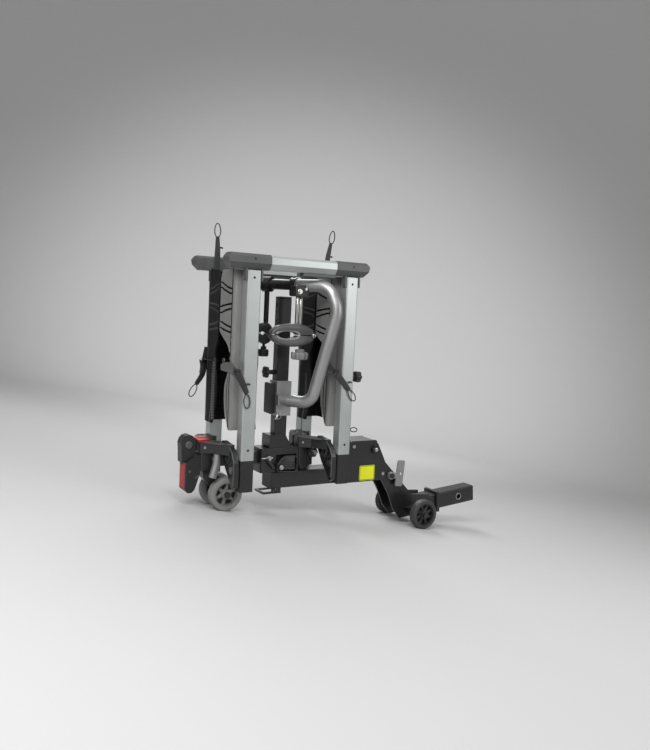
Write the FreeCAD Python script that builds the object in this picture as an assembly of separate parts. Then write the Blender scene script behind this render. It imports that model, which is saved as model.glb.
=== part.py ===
import FreeCAD, Part
import math
import os

os.makedirs("parts", exist_ok=True)

# A folded platform rack for a hitch receiver. It is drawn level, with x running from the
# tail to the car, y across and z up, and set down on its four wheels at the end.

# driving sizes
railPitch = 292.0      # tail rail to car rail, along x
railWide = 37.0        # rail section along x
railDeep = 35.0        # rail section across y
railOut = 128.0        # outboard face of a rail from the middle
railLow = 107.0        # where the bare rail starts, above the spine's underside
sleeveLow = 24.5
barHigh = 36.0         # top bar section
barDeep = 38.0
barTop = 634.0
spineStart = 141.0
spineWide = 54.0
spineHigh = 47.0
mastX = 168.0          # middle of the mast
mastWide = 37.0
mastDeep = 30.0
mastTop = 528.0
rearWheelR = 45.0
rearWheelX = -1.0
rearWheelZ = 0.5
frontWheelR = 44.5
frontWheelX = 629.0
frontWheelZ = -103.0
tongueSide = 50.8      # two inch receiver size
tongueEndX = 888.0
tongueEndZ = -76.0
tongueRise = 5.3       # degrees that the tongue climbs towards its end
tiltX = 476.0
tiltZ = 96.0

# walls and clearances
tubeWall = 2.5
sideGap = 2.0
pinPlay = 0.06

# worked out from the sizes above
railIn = railOut - railDeep
hingeY = railOut - 20.0
hingeZ = sleeveLow + 56.0
railMid = railWide / 2.0
groundDrop = (rearWheelZ - rearWheelR) - (frontWheelZ - frontWheelR)
leanAngle = math.degrees(math.atan2(groundDrop, frontWheelX - rearWheelX))
barOut = railOut + 6.0
barLow = barTop - barHigh
railTop = barLow - 4.0
bodyTop = 115.0
bodyLow = spineHigh + 17.0


def vec(x, y, z):
    return FreeCAD.Vector(x, y, z)


def box(x0, x1, y0, y1, z0, z1):
    return Part.makeBox(x1 - x0, y1 - y0, z1 - z0, vec(x0, y0, z0))


def rod(x, y, z, direction, length, radius):
    return Part.makeCylinder(radius, length, vec(x, y, z), vec(*direction))


def rodY(x, y0, y1, z, radius):
    return rod(x, y0, z, (0, 1, 0), y1 - y0, radius)


def rodX(x0, x1, y, z, radius):
    return rod(x0, y, z, (1, 0, 0), x1 - x0, radius)


def rodZ(x, y, z0, z1, radius):
    return rod(x, y, z0, (0, 0, 1), z1 - z0, radius)


def face(points):
    return Part.Face(Part.makePolygon(points + [points[0]]))


# a prism with its outline in x and z, between two y planes
def slabXZ(outline, y0, y1):
    return face([vec(x, y0, z) for x, z in outline]).extrude(vec(0, y1 - y0, 0))


def slabYZ(outline, x0, x1):
    return face([vec(x0, y, z) for y, z in outline]).extrude(vec(x1 - x0, 0, 0))


def slabXY(outline, z0, z1):
    return face([vec(x, y, z0) for x, y in outline]).extrude(vec(0, 0, z1 - z0))


def soften(shape, radius, along):
    picked = []
    for edge in shape.Edges:
        if len(edge.Vertexes) < 2 or not isinstance(edge.Curve, Part.Line):
            continue
        run = edge.Vertexes[1].Point.sub(edge.Vertexes[0].Point)
        if run.Length > 1e-6 and abs(run.dot(vec(*along))) / run.Length > 0.999:
            picked.append(edge)
    return shape.makeFillet(radius, picked)


def fuse(shapes):
    whole = shapes[0]
    for shape in shapes[1:]:
        whole = whole.fuse(shape)
    return whole.removeSplitter()


def cut(shape, tools):
    for tool in tools:
        shape = shape.cut(tool)
    return shape


def mirrored(shape):
    return shape.mirror(vec(0, 0, 0), vec(0, 1, 0))


# a point on an ellipse arc, in degrees
def onEllipse(cx, cz, rx, rz, angle):
    turn = math.radians(angle)
    return (cx + rx * math.cos(turn), cz + rz * math.sin(turn))


def arcPoints(cx, cz, rx, rz, start, end, steps):
    span = (end - start) / float(steps)
    return [onEllipse(cx, cz, rx, rz, start + span * i) for i in range(steps + 1)]


made = {}


def keep(node, shapes):
    shapes = shapes if isinstance(shapes, list) else [shapes]
    made[node] = shapes


# base: spine, centre body, plates

tubeOuter = box(spineStart, tiltX - 46, -spineWide / 2, spineWide / 2, 0, spineHigh)
tubeOuter = soften(tubeOuter, 4, (1, 0, 0))
tubeBore = box(spineStart - 1, tiltX - 45, -spineWide / 2 + 3, spineWide / 2 - 3, 3, spineHigh - 3)
keep("spine_tube", cut(tubeOuter, [tubeBore]))

capPlug = box(spineStart, spineStart + 25, -spineWide / 2 + 3.3, spineWide / 2 - 3.3, 3.3, spineHigh - 3.3)
capFace = soften(box(spineStart - 4, spineStart, -spineWide / 2, spineWide / 2, 0, spineHigh), 4, (1, 0, 0))
spineCap = fuse([capFace, capPlug])

# flat bar loop under the tail end of the spine
loopX0 = spineStart - 26
loopX1 = spineStart + 30
loopOuter = box(loopX0, loopX1, -spineWide / 2, spineWide / 2, -14, -9)
loopInner = box(loopX0 + 6, loopX1 - 8, -spineWide / 2 + 6, spineWide / 2 - 6, -15, -8)
loopFeet = [box(loopX1 - 8, loopX1, side * 18 - 7, side * 18 + 7, -9, 0) for side in (-1, 1)]
loopFoot = box(spineStart + 2, spineStart + 8, -spineWide / 2, -spineWide / 2 + 6, -9, 0)
keep("spine_loop", fuse([cut(loopOuter, [loopInner]), loopFoot] + loopFeet))

# the centre body carries the hinge arms at both ends
rearBlock = soften(box(-70, -24, -28, 28, bodyLow + 2, bodyTop), 5, (0, 0, 1))
carBlock = soften(box(222, 268, -28, 28, bodyLow - 3, bodyTop), 5, (0, 0, 1))
middleBody = soften(box(104, 224, -29, 29, spineHigh + 0.0, bodyTop), 4, (0, 0, 1))
linkBeam = box(-26, 106, -14, 14, 72, 106)
carFoot = rodZ(245, 0, spineHigh, bodyLow, 19)
bodyHollow = box(109, 219, -24, 24, spineHigh - 1, bodyTop - 5)
body = fuse([rearBlock, linkBeam, cut(middleBody, [bodyHollow]), carBlock, carFoot])
pedalRecess = box(150, 214, -30, -23, spineHigh - 1, 96)
bodyCut = cut(body, [pedalRecess])

# tapered seat that holds the mast
seatOutline = [(mastX - 38, bodyTop), (mastX - 38, bodyTop + 36), (mastX + 12, bodyTop + 36),
               (mastX + 32, bodyTop)]
seat = soften(slabXZ(seatOutline, -24, 24), 3, (0, 1, 0))
mastHole = box(mastX - mastWide / 2, mastX + mastWide / 2, -mastDeep / 2, mastDeep / 2, bodyTop + 6, 200)
keep("mast_seat", cut(seat, [mastHole]))

mastOuter = box(mastX - mastWide / 2, mastX + mastWide / 2, -mastDeep / 2, mastDeep / 2, bodyTop + 6, mastTop)
mastOuter = soften(mastOuter, 3, (0, 0, 1))
mastBore = box(mastX - mastWide / 2 + 2.5, mastX + mastWide / 2 - 2.5, -mastDeep / 2 + 2.5,
               mastDeep / 2 - 2.5, bodyTop, mastTop + 1)
mastHoles = [rodX(mastX - 30, mastX, 0, z, 3.5) for z in (mastTop - 20, mastTop - 60)]
knobAxis = (-1, 0, 0)
knobZ = 325.0
knobStud = rod(mastX - mastWide / 2 + 1, 0, knobZ, knobAxis, 25, 4.0)
keep("mast_tube", fuse([cut(mastOuter, [mastBore] + mastHoles), knobStud]))
capTop = box(mastX - mastWide / 2, mastX + mastWide / 2, -mastDeep / 2, mastDeep / 2, mastTop, mastTop + 7)
capTop = capTop.makeFillet(3.0, capTop.Edges)
capStem = box(mastX - mastWide / 2 + 2.9, mastX + mastWide / 2 - 2.9, -mastDeep / 2 + 2.9,
              mastDeep / 2 - 2.9, mastTop - 14, mastTop + 3)
mastCap = fuse([capTop, capStem])


# hinge arm: a bar from the centre body to the rail, then a curved plate down to its pin
def hingeArm(railX):
    bar = [(railX - 74, -30), (railX - 74, -3), (railX - 44, -3), (railX - sideGap, -42),
           (railX - sideGap, -92), (railX - 16, -92), (railX - 44, -50)]
    top = soften(slabXY(bar, bodyTop, bodyTop + 28), 4, (0, 0, 1))
    outer = arcPoints(-50, bodyTop - 25, railOut - 56, 56, 100, 180, 8)
    outline = [(-36, bodyTop + 31)] + outer[1:] + [(-(railOut - 6), sleeveLow + 12),
               (-(railOut - 18), sleeveLow + 6), (-(railIn + 2), sleeveLow + 24), (-64, 78), (-36, bodyTop)]
    side = slabYZ(outline, railX - 16, railX - sideGap)
    pocket = [(-58, bodyTop + 17), (-90, bodyTop + 8), (-106, 98), (-92, 92), (-66, 92), (-50, bodyTop + 2)]
    hollow = slabYZ(pocket, railX - 17, railX - 8)
    arm = fuse([top, side])
    eye = rodY(railX - 62, -60, -20, bodyTop + 14, 4.5)
    bore = rodX(railX - 20, railX, -hingeY, hingeZ, 6.0 + pinPlay)
    return cut(arm, [hollow, eye, bore])


armPlaces = {"left": 0.0, "right": railPitch}
for place, railX in armPlaces.items():
    arm = hingeArm(railX)
    keep("hinge_arm_near_" + place, arm)
    keep("hinge_arm_far_" + place, mirrored(arm))


# hinge pins with a round head outside each arm
def hingePin(railX):
    shaft = rodX(railX - 16, railX + railWide + 3, -hingeY, hingeZ, 6.0)
    head = rodX(railX - 20, railX - 16, -hingeY, hingeZ, 9.5)
    washer = rodX(railX + railWide + 0.6, railX + railWide + 3, -hingeY, hingeZ, 9.0)
    return fuse([shaft, head, washer])


pins = [hingePin(railX) for railX in armPlaces.values()]
keep("hinge_pins", pins + [mirrored(pin) for pin in pins])

# side plates around the tilt pivot, closed on top
plateOutline = [(tiltX - 129, 0.6), (tiltX + 49, 0.6), (tiltX + 4, tiltZ + 28), (tiltX - 88, tiltZ + 28)]
sidePlate = soften(slabXZ(plateOutline, -39, -34), 8, (0, 1, 0))
spacer = box(tiltX - 116, tiltX - 50, -34, -spineWide / 2, 6, 40)
topCover = box(tiltX - 84, tiltX - 4, -34, 34, tiltZ + 24, tiltZ + 28)
tiltBore = rodY(tiltX, -41, 41, tiltZ, 8.0 + pinPlay)
plates = fuse([sidePlate, mirrored(sidePlate), spacer, mirrored(spacer), topCover])
keep("tilt_plates", cut(plates, [tiltBore]))

tiltShaft = rodY(tiltX, -42, 42, tiltZ, 8.0)
tiltHeads = [rodY(tiltX, -47, -39.2, tiltZ, 13.0), rodY(tiltX, 39.2, 47, tiltZ, 13.0)]
keep("tilt_bolt", fuse([tiltShaft] + tiltHeads))
rivets = [rodY(tiltX + x, -41.5, -39, z, 5.0) for x, z in ((32, 20), (-100, 20), (-76, 108))]
keep("plate_rivets", rivets + [mirrored(r) for r in rivets])
keep("label_pad", soften(box(tiltX - 53, tiltX + 1, -40.0, -39.0, 4, 49), 5, (0, 1, 0)))

# tail wheels: a bracket under the rear block and one axle
stemOutline = [(-58, bodyLow + 2), (-28, bodyLow + 2), (rearWheelX + 13, rearWheelZ + 2),
               (rearWheelX + 9, rearWheelZ - 11), (rearWheelX - 9, rearWheelZ - 11), (-58, 44)]
stem = soften(slabXZ(stemOutline, -16, 16), 4, (0, 1, 0))
stemBore = rodY(rearWheelX, -20, 20, rearWheelZ, 6.0)
keep("rear_wheel_stem", cut(stem, [stemBore]))
keep("rear_axle", fuse([rodY(rearWheelX, -50, 50, rearWheelZ, 6.0),
                        rodY(rearWheelX, -52.5, -49.5, rearWheelZ, 9.0),
                        rodY(rearWheelX, 49.5, 52.5, rearWheelZ, 9.0)]))


# a spoked wheel about y, from its inner to its outer face
def wheelBody(x, z, y0, y1, radius, spokes, bore):
    rimIn = radius * 0.76
    tread = rodY(x, y0, y1, z, radius)
    tread = tread.makeFillet(3.0, [e for e in tread.Edges if isinstance(e.Curve, Part.Circle)])
    rim = tread.cut(rodY(x, y0 - 1, y1 + 1, z, rimIn))
    hub = rodY(x, y0, y1, z, bore + 6.5)
    web = rodY(x, (y0 + y1) / 2 - 3, (y0 + y1) / 2 + 3, z, rimIn + 1)
    holes = []
    for i in range(spokes):
        turn = math.radians(360.0 / spokes * i + 20)
        far = (rimIn + bore + 6.5) / 2
        holes.append(rodY(x + far * math.cos(turn), y0 - 1, y1 + 1, z + far * math.sin(turn), radius * 0.13))
    return cut(fuse([rim, hub, cut(web, holes)]), [rodY(x, y0 - 1, y1 + 1, z, bore)])


rearIn = 20.0
rearOut = 48.0
rearWheel = wheelBody(rearWheelX, rearWheelZ, -rearOut, -rearIn, rearWheelR, 6, 6.0 + pinPlay)
keep("rear_wheel_near", rearWheel)
keep("rear_wheel_far", mirrored(rearWheel))

# tail lamp on a knuckle behind the rear block, with a red strip along each hinge arm
lampX = -108.0
lampHalf = 26.0
shellOutline = [(lampX, 14), (lampX, 88), (lampX + 5, 94), (-70, 110), (-70, 58), (lampX + 24, 16),
                (lampX + 16, 8), (lampX + 5, 8)]
shell = soften(slabXZ(shellOutline, -lampHalf, lampHalf), 3, (0, 1, 0))
lensSeat = box(lampX - 1, lampX + 3, -16, 16, 18, 84)
lampLens = soften(box(lampX - 1.5, lampX + 3, -16, 16, 18, 84), 2, (1, 0, 0))
knuckleX = lampX + 8
knuckleOutline = [(knuckleX - 18, 88)] + arcPoints(knuckleX, 136, 21, 25, 200, -20, 8) + \
                 [(knuckleX + 17, 108), (knuckleX + 12, 96)]
knuckle = cut(slabXZ(knuckleOutline, -15, 15), [rodY(knuckleX, -20, 20, 134, 5)])
keep("lamp_shell", fuse([cut(shell, [lensSeat]), knuckle]))
armStrip = soften(box(-78, -46, -29, -5, bodyTop + 28.2, bodyTop + 34), 2, (0, 0, 1))
keep("lamp_lenses", [lampLens, armStrip, mirrored(armStrip)])

# foot pedal that frees the tilt
pedalX = 178.0
pedalZ = 66.0
pedalOutline = [(-10, -21), (30, -16), (34, -8), (34, 24), (26, 28), (-2, 24), (-14, 8), (-30, 4), (-30, -8)]
pedalWindow = [(2, -9), (26, -6), (26, 18), (2, 14)]
pedalPlate = slabXZ([(pedalX + x, pedalZ + z) for x, z in pedalOutline], -44, -33)
pedalHole = slabXZ([(pedalX + x, pedalZ + z) for x, z in pedalWindow], -46, -39)
pedalStem = rodY(pedalX - 20, -34, -29.6, pedalZ - 2, 9)
pedalBore = rodY(pedalX - 20, -46, -29, pedalZ - 2, 4.0 + pinPlay)
keep("tilt_pedal", cut(fuse([pedalPlate, pedalStem]), [pedalHole, pedalBore]))
pedalPin = fuse([rodY(pedalX - 20, -47, 27, pedalZ - 2, 4.0), rodY(pedalX - 20, -50, -44.6, pedalZ - 2, 6.5)])
keep("centre_body", fuse([bodyCut, pedalPin]))

# neck, tongue and small wheels

rise = math.radians(tongueRise)


# a point given along the tongue from its end, across, and up in the tongue's own square
def tonguePoint(back, across, up):
    x = tongueEndX - back * math.cos(rise) - up * math.sin(rise)
    z = tongueEndZ - back * math.sin(rise) + up * math.cos(rise)
    return vec(x, across, z)


def tongueBox(back0, back1, half, halfUp):
    corners = [tonguePoint(back0, -half, -halfUp), tonguePoint(back1, -half, -halfUp),
               tonguePoint(back1, -half, halfUp), tonguePoint(back0, -half, halfUp)]
    return face(corners).extrude(vec(0, 2 * half, 0))


half = tongueSide / 2
tongueBar = soften(tongueBox(0, 262, half, half), 5, (math.cos(rise), 0, math.sin(rise)))
tongueHollow = tongueBox(-1, 263, half - 5, half - 5)
pinBack = 63.0
pinAt = tonguePoint(pinBack, -half, 0)
pinRadius = 8.0
bush = rodY(pinAt.x, -half + 1, half - 1, pinAt.z, 12.5)
pinBore = rodY(pinAt.x, -half - 1, half + 1, pinAt.z, pinRadius)

# collar near the inner end of the bare tongue
collarOuter = tongueBox(148, 158, half + 7, half + 7)
collarHole = tongueBox(147, 159, half, half)
collarRing = cut(collarOuter, [collarHole])
keep("hitch_tongue", cut(fuse([cut(tongueBar, [tongueHollow]), bush, collarRing]), [pinBore]))

neckOutline = arcPoints(tiltX, tiltZ, 22, 22, 215, 45, 8) + \
    [(tiltX + 46, 52), (tiltX + 152, -56), (tiltX + 222, -62), (tiltX + 222, -118), (tiltX + 110, -128),
     (tiltX + 84, -96), (tiltX + 62, -46)]
cheek = slabXZ(neckOutline, -half - 6, -half)
webPlate = slabXZ([(tiltX + 46, 48), (tiltX + 139, -46), (tiltX + 135, -50), (tiltX + 42, 44)],
                  -half - 1, half + 1)
neckBore = rodY(tiltX, -40, 40, tiltZ, 8.0 + pinPlay)
neck = fuse([cheek, mirrored(cheek), webPlate])
leverX = tiltX + 62
leverZ = 12.0
leverShaft = fuse([rodY(leverX, -47.5, -half - 3, leverZ, 5.0), rodY(leverX, -50, -46.6, leverZ, 8.0)])
keep("neck", fuse([cut(neck, [neckBore]), leverShaft]))

# light bracket for the small wheels, under the neck
bracketOutline = [(frontWheelX - 30, -92), (frontWheelX + 26, -92), (frontWheelX + 22, frontWheelZ - 14),
                  (frontWheelX - 12, frontWheelZ - 14)]
wing = slabXZ(bracketOutline, -58, -half - 6)
wingCut = slabXZ([(frontWheelX - 60, -95.5), (frontWheelX + 60, -95.5), (frontWheelX + 60, -130),
                  (frontWheelX - 60, -130)], -54, -half - 10)
stub = fuse([rodY(frontWheelX, -107, -half - 8, frontWheelZ, 6.0),
             rodY(frontWheelX, -110, -107, frontWheelZ, 9.0)])
halfBracket = fuse([cut(wing, [wingCut]), stub])
keep("wheel_bracket", [halfBracket, mirrored(halfBracket)])
frontIn = 81.0
frontOut = 105.0
frontWheel = wheelBody(frontWheelX, frontWheelZ, -frontOut, -frontIn, frontWheelR, 8, 6.0 + pinPlay)
keep("front_wheel_near", frontWheel)
keep("front_wheel_far", mirrored(frontWheel))

# release handle on a short shaft beside the neck
leverOutline = [(leverX + 21, 54), (leverX + 24, 58), (leverX + 43, 57), (leverX + 47, 53),
                (leverX + 41, -18), (leverX + 37, -23), (leverX + 17, -21), (leverX + 14, -17)]
leverPlate = slabXZ(leverOutline, -46, -42)
leverHub = rodY(leverX, -46, -35, leverZ, 11)
leverLink = box(leverX, leverX + 20, -46, -42, leverZ - 9, leverZ + 9)
leverHole = rodY(leverX + 34, -50, -40, 17, 4)
leverBore = rodY(leverX, -50, -30, leverZ, 5.0 + pinPlay)
keep("tilt_lever", cut(fuse([leverPlate, leverHub, leverLink]), [leverHole, leverBore]))

# hoop, cross tube and bike clamps on the mast

hoopR = 16.5
hoopTurn = -54.0
hoopX = mastX - 3
hoopY = -38.0
along = vec(math.cos(math.radians(hoopTurn)), math.sin(math.radians(hoopTurn)), 0)


# the hoop lies in an upright plane that swings out from the mast
def hoopPoint(reach, z):
    return vec(hoopX + along.x * reach, hoopY + along.y * reach, z)


def pipe(points, bends, radius):
    parts = []
    start = points[0]
    for i in range(1, len(points) - 1):
        into = points[i].sub(points[i - 1]).normalize()
        out = points[i + 1].sub(points[i]).normalize()
        turn = math.acos(max(-1.0, min(1.0, into.dot(out))))
        trim = bends[i - 1] * math.tan(turn / 2)
        a = points[i].sub(FreeCAD.Vector(into).multiply(trim))
        b = points[i].add(FreeCAD.Vector(out).multiply(trim))
        toMid = out.sub(into).normalize()
        reachMid = bends[i - 1] / math.cos(turn / 2) - bends[i - 1]
        middle = points[i].add(FreeCAD.Vector(toMid).multiply(reachMid))
        parts.append(Part.makeLine(start, a))
        parts.append(Part.Arc(a, middle, b).toShape())
        start = b
    parts.append(Part.makeLine(start, points[-1]))
    path = Part.Wire(parts)
    heading = points[1].sub(points[0]).normalize()
    ring = Part.Wire([Part.makeCircle(radius, points[0], heading)])
    return path.makePipeShell([ring], True, True)


hoopPath = [hoopPoint(6, 250), hoopPoint(80, 250), hoopPoint(146, 505), hoopPoint(118, 567),
            hoopPoint(22, 567)]
hoopBends = [38, 60, 44]
hoopTube = pipe(hoopPath, hoopBends, hoopR).cut(pipe(hoopPath, hoopBends, hoopR - tubeWall))
keep("hoop", hoopTube)

crossEnd = -84.0
heading = (along.x, along.y, 0)
barStart = hoopPoint(crossEnd, 567)
crossTube = rod(barStart.x, barStart.y, 567, heading, 20 - crossEnd, 14.0)
collarStart = hoopPoint(6, 567)
collar = rod(collarStart.x, collarStart.y, 567, heading, 15.4, 19.0)
keep("cross_tube", fuse([crossTube, collar]))

# cranked bar that hangs in front of the near tail wheel
crankPath = [vec(-31, -47, bodyTop - 2.5), vec(-34, -47, 84), vec(-44, -47, 50)]
crankStub = rodY(-32, -47, -28.02, 98, 8.0)
keep("tail_crank", fuse([pipe(crankPath, [25], 10.5), crankStub]))

# folded sheet bracket that ties the hoop to the mast
bracketIn = box(mastX - mastWide / 2 - 4, mastX + mastWide / 2 + 4, -26, mastDeep / 2 + 4, 205, 302)
bracketHole = box(mastX - mastWide / 2 - 0.2, mastX + mastWide / 2 + 0.2,
                  -mastDeep / 2 - 0.2, mastDeep / 2 + 0.2,
                  204, 303)
bracketTongue = box(hoopX - 20, hoopX + 12, -37, -25, 236, 264)
hoopStart = hoopPoint(6, 250)
hoopPlug = rod(hoopX - along.x * 12, hoopY - along.y * 12, 250, heading, 18.0, 14.0)
hoopRoom = rod(hoopStart.x, hoopStart.y, 250, heading, 60, hoopR)
keep("mast_bracket", cut(fuse([cut(bracketIn, [bracketHole]), bracketTongue, hoopPlug]), [hoopRoom]))
lockBox = box(mastX - mastWide / 2 - 22, mastX - mastWide / 2 - 4, -16, 16, 210, 296)
keep("lock_box", soften(lockBox, 5, (0, 1, 0)))
mastKnob = fuse([rod(mastX - 21, 0, knobZ, knobAxis, 20, 7), rod(mastX - 34, 0, knobZ, knobAxis, 13, 17)])
keep("mast_knob", cut(mastKnob, [rod(mastX - 18, 0, knobZ, knobAxis, 26, 4.0 + pinPlay)]))


# one bike clamp: an arm down from the tube, two jaw halves hinged at the car end, and a knob
def clampJaws(x, y, z, jawHalf, jawRise, thick, mouthBack, knobAt, knobR):
    top = arcPoints(0, 0, jawHalf, jawRise, 176, 4, 14)
    mouth = arcPoints(-mouthBack, 0, jawHalf * 0.50, jawRise * 0.38, 4, 176, 10)
    outline = [(x + px, z + pz) for px, pz in top + mouth]
    upper = slabXZ(outline, y - thick, y + thick)
    lower = slabXZ([(px, 2 * z - pz) for px, pz in outline], y - thick, y + thick)
    eye = x + jawHalf - 9
    slot = rodY(eye, y - 9, y + 9, z, 9)
    pin = rodY(eye, y - thick, y + thick, z, 4.0)
    upper = cut(upper, [slot])
    upper = fuse([upper, pin])
    barrel = rodY(eye, y - 8.4, y + 8.4, z, 8.4)
    link = box(eye - 16, eye - 4, y - 8.4, y + 8.4, z - 8, z - 2.5)
    lower = cut(lower, [rodY(eye, y - thick - 1, y + thick + 1, z, 9)])
    studX = x + knobAt
    stud = rodZ(studX, y, z - jawRise - 32, z - jawRise + 8, 4.0)
    lower = fuse([lower, barrel, link, stud])
    lower = cut(lower, [rodY(eye, y - 20, y + 20, z, 4.0 + pinPlay)])
    knobTop = z - jawRise - 7
    knob = fuse([rodZ(studX, y, knobTop - 29, knobTop - 7, knobR),
                 rodZ(studX, y, knobTop - 7, knobTop, knobR * 0.55)])
    knob = cut(knob, [rodZ(studX, y, knobTop - 30, knobTop + 1, 4.0 + pinPlay)])
    return upper, lower, knob


clampZ = 432.0
wideX = mastX - 9
wideY = -75.0
wideUpper, wideLower, wideKnob = clampJaws(wideX, wideY, clampZ, 68, 31, 17, 19, 26, 24)
stemX = wideX + 18
wideStem = fuse([rodZ(stemX + side * 5.2, wideY, clampZ + 24, 545, 5.0) for side in (-1, 1)]
                + [box(stemX - 5, stemX + 5, wideY - 1.5, wideY + 1.5, clampZ + 30, 545)])
wideGrip = soften(box(wideX - 4, wideX + 36, -94, -56, 536, 566), 6, (0, 1, 0))
wideBores = [rod(barStart.x, barStart.y, 567, heading, 260, hoopR + 0.4),
             rod(collarStart.x - along.x, collarStart.y - along.y, 567, heading, 17.4, 19.4)]
keep("clamp_arm_wide", cut(fuse([wideGrip, wideStem]), wideBores))
keep("jaw_upper_wide", cut(wideUpper, [wideStem]))
keep("jaw_lower_wide", wideLower)
keep("jaw_knob_wide", wideKnob)

slimAt = hoopPoint(-69, clampZ)
slimUpper, slimLower, slimKnob = clampJaws(slimAt.x - 4, slimAt.y, clampZ, 24, 30, 15, 2, 0, 15)
slimStem = rodZ(slimAt.x, slimAt.y, clampZ + 27, 552, 7.0)
slimStart = hoopPoint(-81, 567)
slimGrip = rod(slimStart.x, slimStart.y, 567, heading, 25, 21)
slimBore = rod(barStart.x, barStart.y, 567, heading, 120, 14.3)
keep("clamp_arm_slim", cut(fuse([slimGrip, slimStem]), [slimBore]))
keep("jaw_upper_slim", cut(slimUpper, [slimStem]))
keep("jaw_lower_slim", slimLower)
keep("jaw_knob_slim", slimKnob)
plugStart = hoopPoint(crossEnd - 5, 567)
tubePlug = rod(plugStart.x, plugStart.y, 567, heading, 5, 12)
keep("end_plugs", [spineCap, mastCap, tubePlug])


# wings: two rails, a bar across their tops and two wheel trays

def railTube(x):
    outer = soften(box(x, x + railWide, -railOut, -railIn, railLow, railTop), 4, (0, 0, 1))
    inner = box(x + 2, x + railWide - 2, -railOut + 2, -railIn - 2, railLow - 1, railTop + 1)
    holes = [rodY(x + railMid, -railOut - 1, -railOut + 4, z, 3.2) for z in (railTop - 18, railLow + 27)]
    return cut(outer, [inner] + holes)


def railSleeve(x):
    shoe = soften(box(x, x + railWide, -railOut, -railIn, sleeveLow, railLow), 4, (0, 0, 1))
    return cut(shoe, [rodX(x - 1, x + railWide + 1, -hingeY, hingeZ, 6.0 + pinPlay)])


def barProfile(grow):
    return [(-barOut - grow, barLow + 14), (-barOut - grow, barTop - 6), (-barOut + 6, barTop + grow),
            (-barOut + barDeep - 4, barTop + grow), (-barOut + barDeep + grow, barTop - 4),
            (-barOut + barDeep + grow, barLow - grow), (-barOut + 11, barLow - grow)]


capSplitA = 62.0
capSplitB = 257.0
barStartX = -56.0
barEndX = 360.0


def endCap(x0, x1, tipAtLow):
    cap = slabYZ(barProfile(1.5), x0, x1)
    tip = x0 if tipAtLow else x1
    into = 1 if tipAtLow else -1
    wedge = [(tip - into, barLow - 4), (tip + into * 16, barLow - 4), (tip + into * 3, barLow + 13),
             (tip + into * 0.5, barTop - 10), (tip + into * 9, barTop + 3), (tip - into, barTop + 3)]
    return cut(cap, [slabXZ(wedge, -barOut - 4, -barOut + barDeep + 4)])


def trayShell(x, lowDeep, neckDeep):
    x0 = x + railMid - 38.0
    x1 = x + railMid + 38.0
    lip = railIn - 5.0
    wall = [(-railIn, railTop + 2), (-railIn + lip - 8, railTop + 2), (-railIn + lip, railTop - 20),
            (-railIn + lip, 434), (-railIn + neckDeep + 14, 400), (-railIn + neckDeep, 376),
            (-railIn + neckDeep + 4, 342), (-railIn + lowDeep, 318), (-railIn + lowDeep, 246),
            (-railIn + lowDeep - 12, 200), (-railIn + lowDeep - 24, 182), (-railIn, 182)]
    whole = slabYZ(wall, x0, x1)
    inner = [(-railIn + 5, railTop - 2), (0, railTop - 2), (0, 170), (-railIn + 5, 170)]
    hollow = slabYZ(inner, x0 + 3.5, x1 - 3.5)
    shell = whole.cut(hollow)
    ribs = []
    for z in (560, 520, 480, 450):
        ribs.append(box(x0 + 3, x1 - 3, -railIn + 4, -railIn + 14, z - 2, z + 2))
    for z in (320, 285, 250, 215):
        ribs.append(box(x0 + 3, x1 - 3, -railIn + 4, -railIn + 9, z - 1.5, z + 1.5))
    return fuse([shell] + ribs)


def bandXZ(points, y0, y1, wide):
    bars = []
    for i in range(len(points) - 1):
        ax, az = points[i]
        bx, bz = points[i + 1]
        length = math.hypot(bx - ax, bz - az)
        nx = -(bz - az) / length * wide / 2
        nz = (bx - ax) / length * wide / 2
        bars.append(slabXZ([(ax - nx, az - nz), (bx - nx, bz - nz), (bx + nx, bz + nz), (ax + nx, az + nz)],
                           y0, y1))
        if i:
            bars.append(rodY(ax, y0, y1, az, wide / 2))
    return fuse(bars)


# pull loop at the end of a strap, as a flat oval ring
def strapLoop(x, y, z, tilt, long, wide, thick):
    outer = slabXZ([onEllipse(0, 0, wide, long, 30 * i) for i in range(12)], -thick / 2, thick / 2)
    inner = slabXZ([onEllipse(0, 0, wide - 3, long - 3, 30 * i) for i in range(12)], -thick, thick)
    ring = outer.cut(inner)
    ring.rotate(vec(0, 0, 0), vec(0, 1, 0), tilt)
    ring.translate(vec(x, y, z))
    return ring


# strap of a near tray: it leaves the tray beside the rail and hangs across the rail's outboard face
def nearStrap(x, line, ringX, ringZ, ringTilt):
    y0 = -railOut - 5.0
    tail = bandXZ([(x + px, pz) for px, pz in line], y0, y0 + 3, 18)
    across = box(x - 20, x - 4, y0, -railIn - 0.5, 326, 336)
    ring = strapLoop(x + ringX, y0 + 1.5, ringZ, ringTilt, 19, 8.5, 3)
    return fuse([tail, across, ring])


buckleY = -railIn + 7.0
buckleZ = 348.0


def nearBuckle(x):
    base = box(x - 24, x - 20.2, buckleY - 5, -railIn + 66, 330, 356)
    grip = box(x - 24, x - 20.2, -railIn - 22, buckleY - 5, 334, 356)
    return cut(fuse([base, grip]), [rodX(x - 25, x - 19, buckleY, buckleZ, 2.5 + pinPlay)])


# pin in the tray wall that the buckle lifts on
def bucklePin(x):
    return rodX(x - 25, x + railMid - 36, buckleY, buckleZ, 2.5)


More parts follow.
